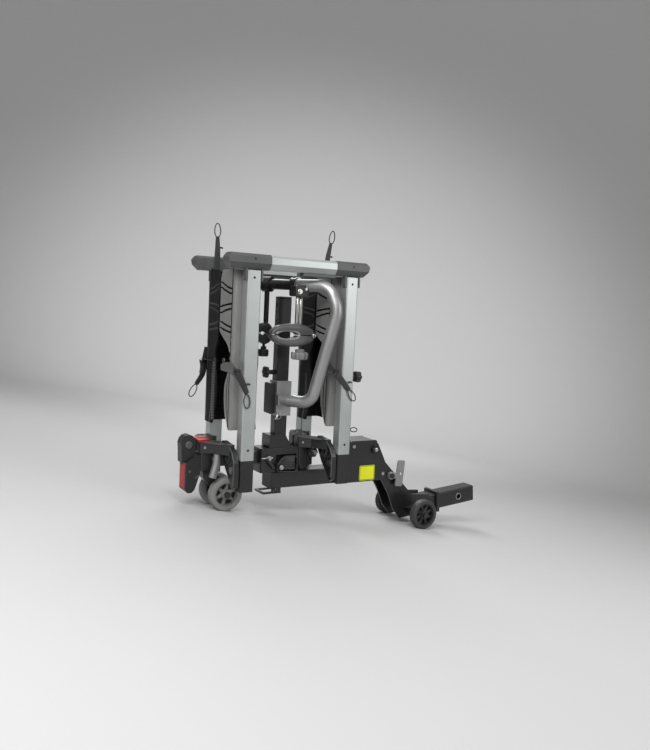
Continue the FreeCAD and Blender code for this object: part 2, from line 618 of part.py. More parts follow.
nearShapes = {}
nearShapes["rails"] = [railTube(x) for x in armPlaces.values()]
nearShapes["sleeves"] = [railSleeve(x) for x in armPlaces.values()]
barShell = slabYZ(barProfile(0), capSplitA, capSplitB)
barInner = slabYZ([(-barOut + 3, barLow + 15), (-barOut + 3, barTop - 8), (-barOut + 8, barTop - 3),
                   (-barOut + barDeep - 5, barTop - 3), (-barOut + barDeep - 3, barTop - 6),
                   (-barOut + barDeep - 3, barLow + 3), (-barOut + 12.5, barLow + 3)],
                   capSplitA - 1, capSplitB + 1)
nearShapes["top_bar"] = barShell.cut(barInner)


# thin keys under a cap hold the rail between them
def capKeys(x):
    low = barLow - 30.0
    high = barLow
    return [box(x - 5.2, x - 1.0, -railOut, -railOut + 16, low, high),
            box(x + railWide + 1.0, x + railWide + 5.2, -railOut, -railOut + 16, low, high)]


nearShapes["bar_caps"] = [fuse([endCap(barStartX, capSplitA, True)] + capKeys(0.0)),
                          fuse([endCap(capSplitB, barEndX, False)] + capKeys(railPitch)),
                          soften(box(160, capSplitB, -railOut + 4, -railOut + 24, barLow - 10, barLow), 3,
                                 (1, 0, 0))]
nearShapes["tray_left"] = fuse([trayShell(0.0, 49.0, 12.0), bucklePin(0.0)])
nearShapes["tray_right"] = fuse([trayShell(railPitch, 49.0, 12.0), bucklePin(railPitch)])
railKnobZ = 322.0
railKnobY = -railOut + 18.0
railFace = railPitch + railWide
knobStud = rodX(railFace + 0.02, railFace + 22, railKnobY, railKnobZ, 4.0)
for name, shape in nearShapes.items():
    keep("near_" + name, shape)
keep("near_rails", nearShapes["rails"] + [knobStud])
railKnob = fuse([rodX(railFace + 0.4, railFace + 13, railKnobY, railKnobZ, 7.0),
                 rodX(railFace + 13, railFace + 32, railKnobY, railKnobZ, 16.0)])
keep("rail_knob", cut(railKnob, [rodX(railFace - 1, railFace + 24, railKnobY, railKnobZ, 4.0 + pinPlay)]))
farShapes = dict(nearShapes)
farShapes["tray_left"] = trayShell(0.0, 82.0, 66.0)
farShapes["tray_right"] = trayShell(railPitch, 82.0, 66.0)
for name, shape in farShapes.items():
    solids = shape if isinstance(shape, list) else [shape]
    keep("far_" + name, [mirrored(solid) for solid in solids])

keep("near_straps", [nearStrap(0.0, [(-22, 338), (-6, 312), (9, 279)], 8, 263, -5),
                     nearStrap(railPitch, [(-22, 331), (-4, 317), (21, 287)], 30, 273, -35)])
for place, railX in armPlaces.items():
    keep("near_buckle_" + place, nearBuckle(railX))

# straps of the far trays: one lies down the tray mouth with a tail beyond the tail-end rail,
# and two stand up past the bar with their loops
trayLeft = railMid - 38.0
ladder = box(trayLeft - 3.4, trayLeft - 0.4, 12, 32, 192, 362)
farTail = bandXZ([(-11, 384), (-18, 350), (-23, 312), (-43, 277)], 100, 103, 18)
farRing = strapLoop(-50, 101.5, 264, 27, 19, 8.5, 3)
farReach = box(trayLeft - 3.4, trayLeft - 0.4, 30, 103, 345, 361)
keep("far_strap_low", fuse([ladder, farTail, farRing, farReach]))
tops = []
for line, y, ringX, ringZ, tilt in (([(-8, railTop + 2.2), (-8, 650), (-9, 687)], 60, -9.5, 704, -2),
                                    ([(315, railTop + 4.2), (320, 650), (329, 698)], 29, 332, 714, 9)):
    tail = bandXZ(line, y, y + 3, 18)
    foot = box(line[0][0] - 9, line[0][0] + 9, y, y + 24, railTop + 2.2, railTop + 8)
    ring = strapLoop(ringX, y + 1.5, ringZ, tilt, 19, 8.5, 3)
    tops.append(fuse([tail, foot, ring]))
keep("far_strap_tops", tops)

# turn the level drawing until the four wheels share a floor, and set that floor at zero

floorZ = (rearWheelZ * math.cos(math.radians(leanAngle))
          + rearWheelX * math.sin(math.radians(leanAngle)) - rearWheelR)
bounds = FreeCAD.BoundBox()
for shapes in made.values():
    for shape in shapes:
        shape.rotate(vec(0, 0, 0), vec(0, 1, 0), -leanAngle)
        bounds.add(shape.optimalBoundingBox(False))
for node, shapes in made.items():
    placed = []
    for shape in shapes:
        shape.translate(vec(-bounds.Center.x, -bounds.Center.y, -floorZ))
        placed.append(shape)
    whole = placed[0] if len(placed) == 1 else Part.makeCompound(placed)
    whole.exportStep("parts/" + node + ".step")
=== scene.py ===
import math
import bmesh
import bpy
import numpy as np
from mathutils import Matrix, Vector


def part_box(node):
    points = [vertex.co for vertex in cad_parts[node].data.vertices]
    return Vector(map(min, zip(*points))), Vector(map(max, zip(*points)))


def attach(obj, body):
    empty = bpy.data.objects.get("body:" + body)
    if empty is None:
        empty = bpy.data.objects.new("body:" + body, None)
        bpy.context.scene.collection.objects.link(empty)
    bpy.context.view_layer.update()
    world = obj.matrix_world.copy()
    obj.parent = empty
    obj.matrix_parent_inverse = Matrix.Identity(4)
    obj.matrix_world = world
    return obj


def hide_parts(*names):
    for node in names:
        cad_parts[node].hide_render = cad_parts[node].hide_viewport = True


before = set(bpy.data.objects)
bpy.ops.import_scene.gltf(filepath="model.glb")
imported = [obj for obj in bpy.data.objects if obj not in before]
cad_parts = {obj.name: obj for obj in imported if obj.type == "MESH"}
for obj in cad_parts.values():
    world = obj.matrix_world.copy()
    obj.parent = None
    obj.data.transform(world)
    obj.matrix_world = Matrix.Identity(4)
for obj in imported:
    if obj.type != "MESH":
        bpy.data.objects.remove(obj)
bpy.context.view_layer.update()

# The rack is drawn level, in millimetres, as its part file draws it: x from tail to car,
# y across and z up. It stands leaning back on its four wheels, so every piece is turned
# by the lean and moved by what the tail axle says before it is kept.
stand = {"wheelDrop": 103.0, "wheelBase": 630.0, "axleAt": (-1.0, 0.0, 0.5)}
lean = math.atan2(stand["wheelDrop"], stand["wheelBase"])
leanTurn = np.array([[math.cos(lean), 0, -math.sin(lean)], [0, 1, 0], [math.sin(lean), 0, math.cos(lean)]])
axleLow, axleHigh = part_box("rear_axle")
axleMiddle = (np.array(axleLow) + np.array(axleHigh)) / 2
leanShift = axleMiddle - leanTurn @ (np.array(stand["axleAt"]) / 1000)


def standing(points):
    # level millimetres to the leaning rack in metres: turn, then shift
    return np.asarray(points, float).reshape(-1, 3) / 1000 @ leanTurn.T + leanShift


def unit(v):
    # direction of a vector, or of each row of vectors
    v = np.asarray(v, float)
    return v / np.maximum(np.linalg.norm(v, axis=-1, keepdims=True), 1e-12)


# ---- meshes worked out as grids

def gridFaces(rows, cols, wrapRows, wrapCols, first=0):
    # quads between neighbouring rows and columns, joined round where a direction wraps
    r = np.arange(rows if wrapRows else rows - 1)
    c = np.arange(cols if wrapCols else cols - 1)
    rr, cc = np.meshgrid(r, c, indexing="ij")
    r2, c2 = (rr + 1) % rows, (cc + 1) % cols
    quads = np.stack([rr * cols + cc, r2 * cols + cc, r2 * cols + c2, rr * cols + c2], -1)
    return (quads.reshape(-1, 4) + first).tolist()


def gridShell(grid, wrapRows=False, wrapCols=True, capped=True):
    # a grid of points as (points, faces); open ends of a wrapped grid get one flat face each
    rows, cols = grid.shape[:2]
    faces = gridFaces(rows, cols, wrapRows, wrapCols)
    if capped and wrapCols and not wrapRows:
        faces.append(list(range(cols)))
        faces.append(list(range((rows - 1) * cols, rows * cols))[::-1])
    return grid.reshape(-1, 3), faces


def joined(parts):
    # several shells as one list of points and faces
    points, faces, first = [], [], 0
    for p, f in parts:
        points.append(p)
        faces += [[i + first for i in one] for one in f]
        first += len(p)
    return np.concatenate(points), faces


def outward(mesh):
    # turn every shell so that its faces look out
    bm = bmesh.new()
    bm.from_mesh(mesh)
    bmesh.ops.recalc_face_normals(bm, faces=bm.faces)
    bm.to_mesh(mesh)
    bm.free()


def piece(name, shells, material, body, sharp=35, replaces=()):
    # one named visible piece: its mesh, its finish, the body it rides and the nodes it stands in for
    points, faces = joined(shells)
    mesh = bpy.data.meshes.new(name)
    mesh.from_pydata(standing(points).tolist(), [], faces)
    outward(mesh)
    mesh.shade_smooth()
    mesh.set_sharp_from_angle(angle=math.radians(sharp))
    mesh.materials.append(material)
    made = bpy.data.objects.new(name, mesh)
    bpy.context.collection.objects.link(made)
    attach(made, body)
    if replaces:
        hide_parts(*replaces)
    return made


def ring(count, turn=0.0):
    # evenly spaced angles round a circle
    return np.arange(count) * 2 * math.pi / count + turn


def sideways(axis):
    # two directions square to an axis and to each other
    axis = unit(axis)
    helper = np.array([0, 0, 1.0]) if abs(axis[2]) < 0.9 else np.array([1.0, 0, 0])
    a = unit(np.cross(helper, axis))
    return a, np.cross(axis, a)


def turned(base, axis, profile, steps=48, lobes=0, depth=0.0, hollow=False):
    # profile of (along, radius) turned about an axis; lobes waves of the given share cut the rim
    profile = np.asarray(profile, float)
    a, b = sideways(axis)
    angle = ring(steps)
    wave = 1 - depth * (0.5 - 0.5 * np.cos(lobes * angle)) ** 2 if lobes else np.ones(steps)
    r = profile[:, 1][:, None] * wave[None, :]
    grid = (np.asarray(base, float) + profile[:, 0][:, None, None] * unit(axis)
            + r[:, :, None] * (np.cos(angle)[:, None] * a + np.sin(angle)[:, None] * b)[None])
    return gridShell(grid, wrapRows=hollow, capped=not hollow)


def flatRing(outline):
    # outward direction at each corner of a closed outline in two dimensions
    p = np.asarray(outline, float)
    before, after = p - np.roll(p, 1, 0), np.roll(p, -1, 0) - p
    n = unit(before)[:, ::-1] * [1, -1] + unit(after)[:, ::-1] * [1, -1]
    area = 0.5 * np.sum(p[:, 0] * np.roll(p[:, 1], -1) - np.roll(p[:, 0], -1) * p[:, 1])
    n = unit(n) * (1 if area > 0 else -1)
    turnCos = np.clip(np.sum(unit(before) * unit(after), 1), -0.9, 1)
    return n / np.sqrt((1 + turnCos) / 2)[:, None]


def rounded(outline, radius, steps=4):
    # corners of a closed outline replaced with short arcs
    p = np.asarray(outline, float)
    out = []
    for i in range(len(p)):
        a, b, c = p[i - 1], p[i], p[(i + 1) % len(p)]
        toA, toC = unit(a - b), unit(c - b)
        room = min(np.linalg.norm(a - b), np.linalg.norm(c - b)) * 0.48
        trim = min(radius, room)
        for t in np.linspace(0, 1, steps + 1):
            out.append((1 - t) ** 2 * (b + toA * trim) + 2 * t * (1 - t) * b + t ** 2 * (b + toC * trim))
    return np.array(out)


def plateShell(outline, low, high, plane, edge=0.8):
    # an outline carried through its thickness, drawn in by the edge break at both faces
    p = np.asarray(outline, float)
    n = flatRing(p)
    rows = []
    for inset, level in ((edge, low), (edge * 0.3, low + edge * 0.3), (0, low + edge),
                         (0, high - edge), (edge * 0.3, high - edge * 0.3), (edge, high)):
        q = p - n * inset
        k = np.full(len(q), level)
        rows.append(np.stack({"xz": [q[:, 0], k, q[:, 1]], "yz": [k, q[:, 0], q[:, 1]]}[plane], -1))
    return gridShell(np.array(rows))


def smoothPath(points, steps=8):
    # Catmull and Rom's curve through the points
    p = np.asarray(points, float)
    ends = np.vstack([2 * p[0] - p[1], p, 2 * p[-1] - p[-2]])
    t = np.linspace(0, 1, steps, endpoint=False)[:, None]
    out = []
    for i in range(len(p) - 1):
        a, b, c, d = ends[i:i + 4]
        out.append(0.5 * (2 * b + (c - a) * t + (2 * a - 5 * b + 4 * c - d) * t ** 2
                          + (3 * b - 3 * c + d - a) * t ** 3))
    return np.vstack(out + [p[-1:]])


def bentPath(points, bends, steps=10):
    # straight runs joined by arcs that touch both runs
    p = [np.asarray(q, float) for q in points]
    out = [p[0]]
    for i, radius in enumerate(bends):
        into, away = unit(p[i + 1] - p[i]), unit(p[i + 2] - p[i + 1])
        turn = math.acos(np.clip(into @ away, -1, 1))
        trim = radius * math.tan(turn / 2)
        centre = p[i + 1] + unit(away - into) * radius / math.cos(turn / 2)
        a = p[i + 1] - into * trim - centre
        b = p[i + 1] + away * trim - centre
        t = np.linspace(0, 1, steps)[:, None]
        out.append(centre + (np.sin((1 - t) * turn) * a + np.sin(t * turn) * b) / math.sin(turn))
    out.append(p[-1])
    return np.vstack([np.atleast_2d(q) for q in out])


def carried(path, section, up=(0, 0, 1), scale=None, wrap=False, capped=True):
    # a closed section of (side, up) points carried along a path; up keeps it from rolling
    path = np.asarray(path, float)
    if wrap:
        run = np.roll(path, -1, 0) - np.roll(path, 1, 0)
    else:
        run = np.gradient(path, axis=0)
    run = unit(run)
    side = unit(np.cross(run, np.asarray(up, float)))
    lift = np.cross(side, run)
    s = np.asarray(section, float)
    s = s[None] * (1 if scale is None else np.asarray(scale, float).reshape(len(path), 1, -1))
    grid = path[:, None] + s[:, :, :1] * side[:, None] + s[:, :, 1:2] * lift[:, None]
    return gridShell(grid, wrapRows=wrap, capped=capped and not wrap)


def roundSection(radius, count=16, flat=1.0):
    # circle or flattened circle as a section to carry
    a = ring(count)
    return np.stack([np.cos(a) * radius, np.sin(a) * radius * flat], -1)


# ---- finishes

def finish(name, colour, roughness, metallic=0.0, grain=400.0, stretch=(1, 1, 1), bump=0.15, mottle=0.12,
           dust=0.0, coat=0.0, spread=0.12, depth=0.0002, gloss=0.5):
    # colour wanders a little with a slow noise, and a fine grain sets the bump and the roughness:
    # roughness runs from its value less the spread to its value plus the spread
    mat = bpy.data.materials.new(name)
    mat.use_nodes = True
    nodes, links = mat.node_tree.nodes, mat.node_tree.links
    shader = nodes["Principled BSDF"]
    where = nodes.new("ShaderNodeTexCoord")
    turnNode = nodes.new("ShaderNodeMapping")
    turnNode.inputs["Rotation"].default_value = (0, lean, 0)
    turnNode.inputs["Scale"].default_value = stretch
    links.new(where.outputs["Object"], turnNode.inputs["Vector"])
    slow = nodes.new("ShaderNodeTexNoise")
    slow.inputs["Scale"].default_value = 14
    slow.inputs["Detail"].default_value = 5
    links.new(where.outputs["Object"], slow.inputs["Vector"])
    fine = nodes.new("ShaderNodeTexNoise")
    fine.inputs["Scale"].default_value = grain
    fine.inputs["Detail"].default_value = 3
    links.new(turnNode.outputs["Vector"], fine.inputs["Vector"])
    tint = nodes.new("ShaderNodeValToRGB")
    dark = [c * (1 - mottle) for c in colour]
    light = [min(1, c * (1 + mottle) + dust) for c in colour]
    tint.color_ramp.elements[0].position = 0.3
    tint.color_ramp.elements[0].color = (*dark, 1)
    tint.color_ramp.elements[1].position = 0.75
    tint.color_ramp.elements[1].color = (*light, 1)
    blendNode = nodes.new("ShaderNodeMix")
    blendNode.inputs["Factor"].default_value = 0.35
    links.new(slow.outputs["Fac"], blendNode.inputs["A"])
    links.new(fine.outputs["Fac"], blendNode.inputs["B"])
    links.new(blendNode.outputs["Result"], tint.inputs["Fac"])
    links.new(tint.outputs["Color"], shader.inputs["Base Color"])
    rough = nodes.new("ShaderNodeMapRange")
    rough.inputs["To Min"].default_value = max(0.02, roughness - spread)
    rough.inputs["To Max"].default_value = min(1.0, roughness + spread)
    links.new(blendNode.outputs["Result"], rough.inputs["Value"])
    links.new(rough.outputs["Result"], shader.inputs["Roughness"])
    lumps = nodes.new("ShaderNodeBump")
    lumps.inputs["Strength"].default_value = bump
    lumps.inputs["Distance"].default_value = depth
    links.new(fine.outputs["Fac"], lumps.inputs["Height"])
    links.new(lumps.outputs["Normal"], shader.inputs["Normal"])
    shader.inputs["Metallic"].default_value = metallic
    shader.inputs["Specular IOR Level"].default_value = gloss
    shader.inputs["Coat Weight"].default_value = coat
    shader.inputs["Coat Roughness"].default_value = 0.2
    return mat


print("finishes")
railSilver = finish("railSilver", (0.44, 0.465, 0.46), 0.40, 0.75, 900, (6, 6, 0.12), 0.12, 0.07)
barSilver = finish("barSilver", (0.43, 0.455, 0.45), 0.38, 0.75, 900, (0.12, 6, 6), 0.12, 0.07)
tubeSilver = finish("tubeSilver", (0.33, 0.335, 0.33), 0.42, 0.80, 700, (1, 1, 1), 0.08, 0.10)
zincSteel = finish("zincSteel", (0.50, 0.50, 0.48), 0.30, 1.0, 600, (1, 1, 1), 0.12, 0.16)
blackCoat = finish("blackCoat", (0.0095, 0.0095, 0.010), 0.34, 0.0, 1500, (1, 1, 1), 0.45, 0.3, 0.002, 0.25)
blackMould = finish("blackMould", (0.011, 0.011, 0.012), 0.42, 0.0, 1900, (1, 1, 1), 0.5, 0.25, 0.003)
capMould = finish("capMould", (0.062, 0.063, 0.063), 0.40, 0.0, 1700, (1, 1, 1), 0.5, 0.18, 0.006)
greyMould = finish("greyMould", (0.072, 0.073, 0.071), 0.38, 0.0, 1700, (1, 1, 1), 0.45, 0.14, 0.006, 0.15)
paleMould = finish("paleMould", (0.150, 0.151, 0.147), 0.42, 0.0, 1500, (1, 1, 1), 0.4, 0.14, 0.008, 0.15)
lipGrey = finish("lipGrey", (0.19, 0.192, 0.187), 0.42, 0.0, 1500, (1, 1, 1), 0.3, 0.10, 0.006)
farTrayBlack = finish("farTrayBlack", (0.008, 0.008, 0.0085), 0.62, 0.0, 1900, (1, 1, 1), 0.5, 0.25, 0.003,
                      gloss=0.15)
# painted shade: a near-black, dull finish for tray faces in the grooves and seams, where shade falls in the
# creases
grooveBlack = finish("grooveBlack", (0.004, 0.004, 0.004), 0.85, 0.0, 1900, (1, 1, 1), 0.3, 0.3, 0.001,
                     gloss=0.02)
strapRubber = finish("strapRubber", (0.013, 0.013, 0.014), 0.48, 0.0, 1200, (1, 1, 1), 0.5, 0.25, 0.004)
tyreGrey = finish("tyreGrey", (0.19, 0.192, 0.186), 0.48, 0.0, 1300, (1, 1, 1), 0.5, 0.12, 0.01)
tyreDark = finish("tyreDark", (0.030, 0.030, 0.030), 0.5, 0.0, 1300, (1, 1, 1), 0.5, 0.2, 0.006)
redLens = finish("redLens", (0.40, 0.005, 0.010), 0.34, 0.0, 500, (1, 1, 1), 0.05, 0.15, coat=0.15)
padYellow = finish("padYellow", (0.74, 0.76, 0.008), 0.55, 0.0, 700, (1, 1, 1), 0.06, 0.05)

nodeFinish = {
    railSilver: ["near_rails", "far_rails"],
    barSilver: ["near_top_bar", "far_top_bar"],
    tubeSilver: ["hoop", "mast_bracket", "tilt_lever", "tail_crank"],
    zincSteel: ["hinge_pins", "plate_rivets"],
    blackCoat: ["spine_tube", "centre_body", "mast_seat", "mast_tube", "hinge_arm_near_left",
                "hinge_arm_near_right", "hinge_arm_far_left", "hinge_arm_far_right", "tilt_plates", "neck",
                "hitch_tongue", "spine_loop", "rear_wheel_stem", "cross_tube", "tilt_pedal",
                "wheel_bracket", "tilt_bolt", "rear_axle"],
    blackMould: ["near_sleeves", "far_sleeves", "end_plugs", "lamp_shell", "lock_box", "mast_knob",
                 "clamp_arm_wide", "clamp_arm_slim", "jaw_upper_slim", "jaw_lower_slim", "jaw_knob_slim",
                 "front_wheel_near", "front_wheel_far", "far_tray_left", "far_tray_right", "rail_knob"],
    capMould: ["near_bar_caps", "far_bar_caps"],
    paleMould: ["near_tray_left", "near_tray_right", "rear_wheel_near", "rear_wheel_far"],
    greyMould: ["jaw_upper_wide", "jaw_lower_wide", "jaw_knob_wide", "near_buckle_left",
                "near_buckle_right"],
    redLens: ["lamp_lenses"],
    padYellow: ["label_pad"],
    strapRubber: ["near_straps", "far_strap_low", "far_strap_tops"],
}
for material, names in nodeFinish.items():
    for name in names:
        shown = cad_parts[name]
        for one in shown.material_slots:
            one.material = material
        if not shown.material_slots:
            shown.data.materials.append(material)

# ---- wheel trays

print("trays")
rack = {"railPitch": 292.0, "railWide": 37.0, "railIn": 93.0, "railOut": 128.0}
railMid = rack["railWide"] / 2
tray = {"half": 38.0, "wall": 3.2, "corner": 11.0, "ribHigh": 1.0, "ribLine": 2.5, "bead": 1.6,
        "foot": 182.0, "top": 596.0, "fineFrom": 428.0, "fineTo": 574.0,
        # the rim value is how far in from the rail the painted shade line along the seam runs
        "rimShade": 15.0, "ribs": [(564, 545, 551, 534), (499, 507, 483, 496), (461, 447, 445, 435)]}


def trayDepth(z, lowDeep, neckDeep):
    # how far the lips stand in from the rail at each height
    at = [182, 200, 232, 262, 296, 320, 345, 376, 400, 434, 574, 596]
    foot = lowDeep - 24 if neckDeep > 40 else 8
    belly = lowDeep if neckDeep > 40 else lowDeep - 6
    deep = [foot, 0.5 * (foot + belly) - 3, belly - 5, belly, belly - 1, max(neckDeep + 12, belly - 14),
            neckDeep + 3, neckDeep, neckDeep + 14, 88, 88, 78]
    line = np.interp(z, at, deep)
    around = sum(np.interp(z + d, at, deep) for d in (-8, -4, 4, 8)) / 4
    return 0.35 * line + 0.65 * around


def ribRelief(share, z):
    # bands between two slanting lines stand up, and each line is a groove
    high = np.zeros_like(z)
    bend = share ** 1.6
    for upLip, upBase, lowLip, lowBase in tray["ribs"]:
        upLine = upLip * bend + upBase * (1 - bend)
        lowLine = lowLip * bend + lowBase * (1 - bend)
        inside = 1 / (1 + np.exp(-(z - lowLine))) / (1 + np.exp(-(upLine - z)))
        high += tray["ribHigh"] * inside
        for line in (upLine, lowLine):
            high -= 2.2 * np.exp(-((z - line) / tray["ribLine"]) ** 2)
    edge = np.clip(share * 8, 0, 1) * np.clip((1 - share) * 10, 0, 1)
    return high * edge


def trayPiece(name, railX, side, lowDeep, neckDeep, body, walls, base, replaced):
    # a channel section whose lips follow the depth curve, carried up the rail
    z = np.unique(np.concatenate([np.linspace(tray["foot"], tray["fineFrom"], 62),
                                  np.linspace(tray["fineFrom"], tray["fineTo"], 118),
                                  np.linspace(tray["fineTo"], tray["top"], 8)]))
    depth = trayDepth(z, lowDeep, neckDeep)
    share = np.linspace(0, 1, 16)
    corner = np.linspace(0, math.pi / 2, 6)[1:-1]
    floorSteps = np.linspace(-1, 1, 9)
    rows = []
    for inner in (0, 1):
        off = tray["wall"] * inner
        r = np.minimum(tray["corner"], depth * 0.5)[:, None] - off * 0.8
        r = np.maximum(r, 1.0)
        halfWide = tray["half"] - off
        deep = depth[:, None] - r - off
        back = share[::-1][None, :] * np.maximum(deep, 0.5)
        relief = ribRelief(np.broadcast_to(share[::-1][None, :], back.shape), z[:, None] + 0 * back)
        relief = relief * (depth[:, None] > 80)
        bead = tray["bead"] * np.clip((share[::-1][None, :] - 0.93) / 0.05, 0, 1)
        push = (relief if not inner else relief * 0.3) + (bead if not inner else -bead * 0.2)
        leftX = -halfWide - push
        leftY = off + r + back
        cornerX = -halfWide + r * (1 - np.cos(corner))[None, :]
        cornerY = off + r * (1 - np.sin(corner))[None, :]
        floorX = floorSteps[None, :] * (halfWide - r)
        floorY = off + 0 * floorX
        x = np.concatenate([leftX, cornerX, floorX, -cornerX[:, ::-1], -leftX[:, ::-1]], 1)
        y = np.concatenate([leftY, cornerY, floorY, cornerY[:, ::-1], leftY[:, ::-1]], 1)
        rows.append(np.stack([x, y, np.broadcast_to(z[:, None], x.shape)], -1))
    loop = np.concatenate([rows[0], rows[1][:, ::-1]], 1)
    loop[..., 0] += railX + railMid
    loop[..., 1] = side * (rack["railIn"] - loop[..., 1])
    points, faces = gridShell(loop, capped=False)
    cols = loop.shape[1]
    halfCols = cols // 2
    for start in (0, (len(z) - 1) * cols):
        for k in range(halfCols - 1):
            faces.append([start + k, start + k + 1, start + cols - 2 - k, start + cols - 1 - k])
    shells = [(points, faces)]
    for ribZ in (560, 520, 480, 450, 320, 285, 250, 215):
        y0 = side * (rack["railIn"] - 2.5)
        y1 = side * (rack["railIn"] - (15 if ribZ > 400 else 9))
        low, high = sorted((y0, y1))
        x0, x1 = railX + railMid - tray["half"] + 4, railX + railMid + tray["half"] - 4
        line = rounded([(x0, ribZ - 1.6), (x1, ribZ - 1.6), (x1, ribZ + 1.6), (x0, ribZ + 1.6)], 1.2, 2)
        shells.append(plateShell(line, low, high, "xz", 0.6))
    made = piece(name, shells, walls, body, 40, replaced)
    # second finish: on the near trays it is painted shade in the grooves, along the seam and round the lower
    # panel
    made.data.materials.append(base)
    count = len(made.data.polygons)
    middles = np.empty(count * 3, np.float32)
    made.data.polygons.foreach_get("center", middles)
    middles = (middles.reshape(-1, 3) - leanShift) @ leanTurn * 1000
    deepIn = rack["railIn"] - np.abs(middles[:, 1])
    # painted shade in the creases: dark, dull faces where a groove of the ribs runs, along the seam beside
    # the rail and round the lower panel
    height = middles[:, 2]
    deepest = trayDepth(height, lowDeep, neckDeep)
    share = np.clip((deepIn - tray["corner"]) / np.maximum(deepest - tray["corner"], 1), 0, 1)
    onWall = np.abs(middles[:, 0] - railX - railMid) > tray["half"] - tray["wall"] * 0.5
    groove = (ribRelief(share, height) < -0.35) & (deepest > 80)
    seam = np.abs(deepIn - tray["rimShade"]) < 2.2
    panel = (height < 318) & (np.abs(share - 0.62) < 0.06)
    made.data.polygons.foreach_set("material_index", (onWall & (groove | seam | panel)).astype(np.int32))
    return made


for place, railX in (("left", 0.0), ("right", rack["railPitch"])):
    # the near trays get painted groove shade as their second finish
    trayPiece("trayNear_" + place, railX, -1, 49.0, 12.0, "near_wing", paleMould, grooveBlack,
              ["near_tray_" + place])
    trayPiece("trayFar_" + place, railX, 1, 82.0, 66.0, "far_wing", farTrayBlack, blackMould,
              ["far_tray_" + place])

# ---- hoop, clamps and knobs

print("hoop and clamps")
hoop = {"x": 165.0, "y": -38.0, "turn": -54.0, "radius": 16.5,
        "points": [(8, 250), (80, 250), (146, 505), (118, 567), (22, 567)], "bends": [38, 60, 44]}
alongHoop = np.array([math.cos(math.radians(hoop["turn"])), math.sin(math.radians(hoop["turn"])), 0])


def hoopPoint(reach, z):
    # a point of the hoop's upright plane: so far along it and so high
    return np.array([hoop["x"], hoop["y"], z]) + alongHoop * reach


hoopLine = bentPath([hoopPoint(*p) for p in hoop["points"]], hoop["bends"], 16)
acrossHoop = np.array([-alongHoop[1], alongHoop[0], 0])
piece("hoopTube", [carried(hoopLine, roundSection(hoop["radius"], 40), acrossHoop)], tubeSilver, "frame",
      60, ["hoop"])

jaw = {"wide": {"x": 159.0, "y": -75.0, "half": 68.0, "rise": 31.0, "thick": 17.0, "knobAt": 26.0,
                "knobR": 24.0, "mouthWide": 0.43, "mouthHigh": 0.27},
       "slim": {"half": 24.0, "rise": 30.0, "thick": 15.0, "knobAt": 0.0, "knobR": 15.0,
                "mouthWide": 0.30, "mouthHigh": 0.13}, "z": 432.0,
       "mouthShift": 0.26, "square": 0.62}
slimAt = hoopPoint(-69, jaw["z"])
jaw["slim"]["x"], jaw["slim"]["y"] = slimAt[0] - 4, slimAt[1]


def jawShell(c, up):
    # half of an oval shell: from mouth to rim across each station, round in section
    turn = np.radians(np.linspace(3, 177, 60))
    outer = np.stack([c["half"] * np.cos(turn), c["rise"] * np.sin(turn)], -1)
    mouth = np.stack([-jaw["mouthShift"] * c["half"] + c["half"] * c["mouthWide"] * np.cos(turn),
                      c["rise"] * c["mouthHigh"] * np.sin(turn)], -1)
    outer[:, 1] += 0.6
    mouth[:, 1] += 0.6
    a = ring(28)
    cx = np.sign(np.cos(a)) * np.abs(np.cos(a)) ** jaw["square"]
    sy = np.sign(np.sin(a)) * np.abs(np.sin(a)) ** jaw["square"]
    middle, reach = (outer + mouth) / 2, (outer - mouth) / 2
    flat = middle[:, None] + reach[:, None] * cx[None, :, None]
    belly = c["thick"] * (0.72 + 0.28 * np.sin(turn))[:, None] * sy[None]
    grid = np.stack([c["x"] + flat[..., 0], c["y"] + belly, jaw["z"] + up * flat[..., 1]], -1)
    return gridShell(grid)


def mouthLining(c, up):
    # soft lip that stands a little proud round the mouth, on both faces
    turn = np.radians(np.linspace(6, 174, 50))
    shells = []
    for face in (-1, 1):
        wideBy = c["half"] * c["mouthWide"] + 5
        line = np.stack([c["x"] - jaw["mouthShift"] * c["half"] + wideBy * np.cos(turn),
                         np.full(len(turn), c["y"] + face * (c["thick"] * 0.80 - 1.2)),
                         jaw["z"] + up * ((c["rise"] * c["mouthHigh"] + 4) * np.sin(turn) + 0.8)], -1)
        shells.append(carried(line, roundSection(3.4, 12, 0.8), (0, 1, 0)))
    return shells


def jawKnuckle(c, up):
    # ear and pin round of the jaw's hinge at the car end
    eye = c["x"] + c["half"] - 9
    reachY = 8.2 if up < 0 else c["thick"]
    radius = 8.2 if up < 0 else 5.0
    return turned((eye, c["y"] - reachY, jaw["z"]), (0, 1, 0),
                  [(0, radius - 1.2), (1, radius), (2 * reachY - 1, radius), (2 * reachY, radius - 1.2)], 28)


def knobShell(base, axis, radius, tall, neck, neckR, lobes=8, depth=0.16):
    # neck, then a fluted grip with a rounded rim and a shallow dome
    return turned(base, axis, [(0, neckR * 0.9), (0.8, neckR), (neck, neckR), (neck + 0.4, radius * 0.82),
                               (neck + 2, radius * 0.96), (neck + 5, radius), (neck + tall - 4, radius),
                               (neck + tall - 1.2, radius * 0.93), (neck + tall, radius * 0.78),
                               (neck + tall + 0.3, radius * 0.3)], 96, lobes, depth)


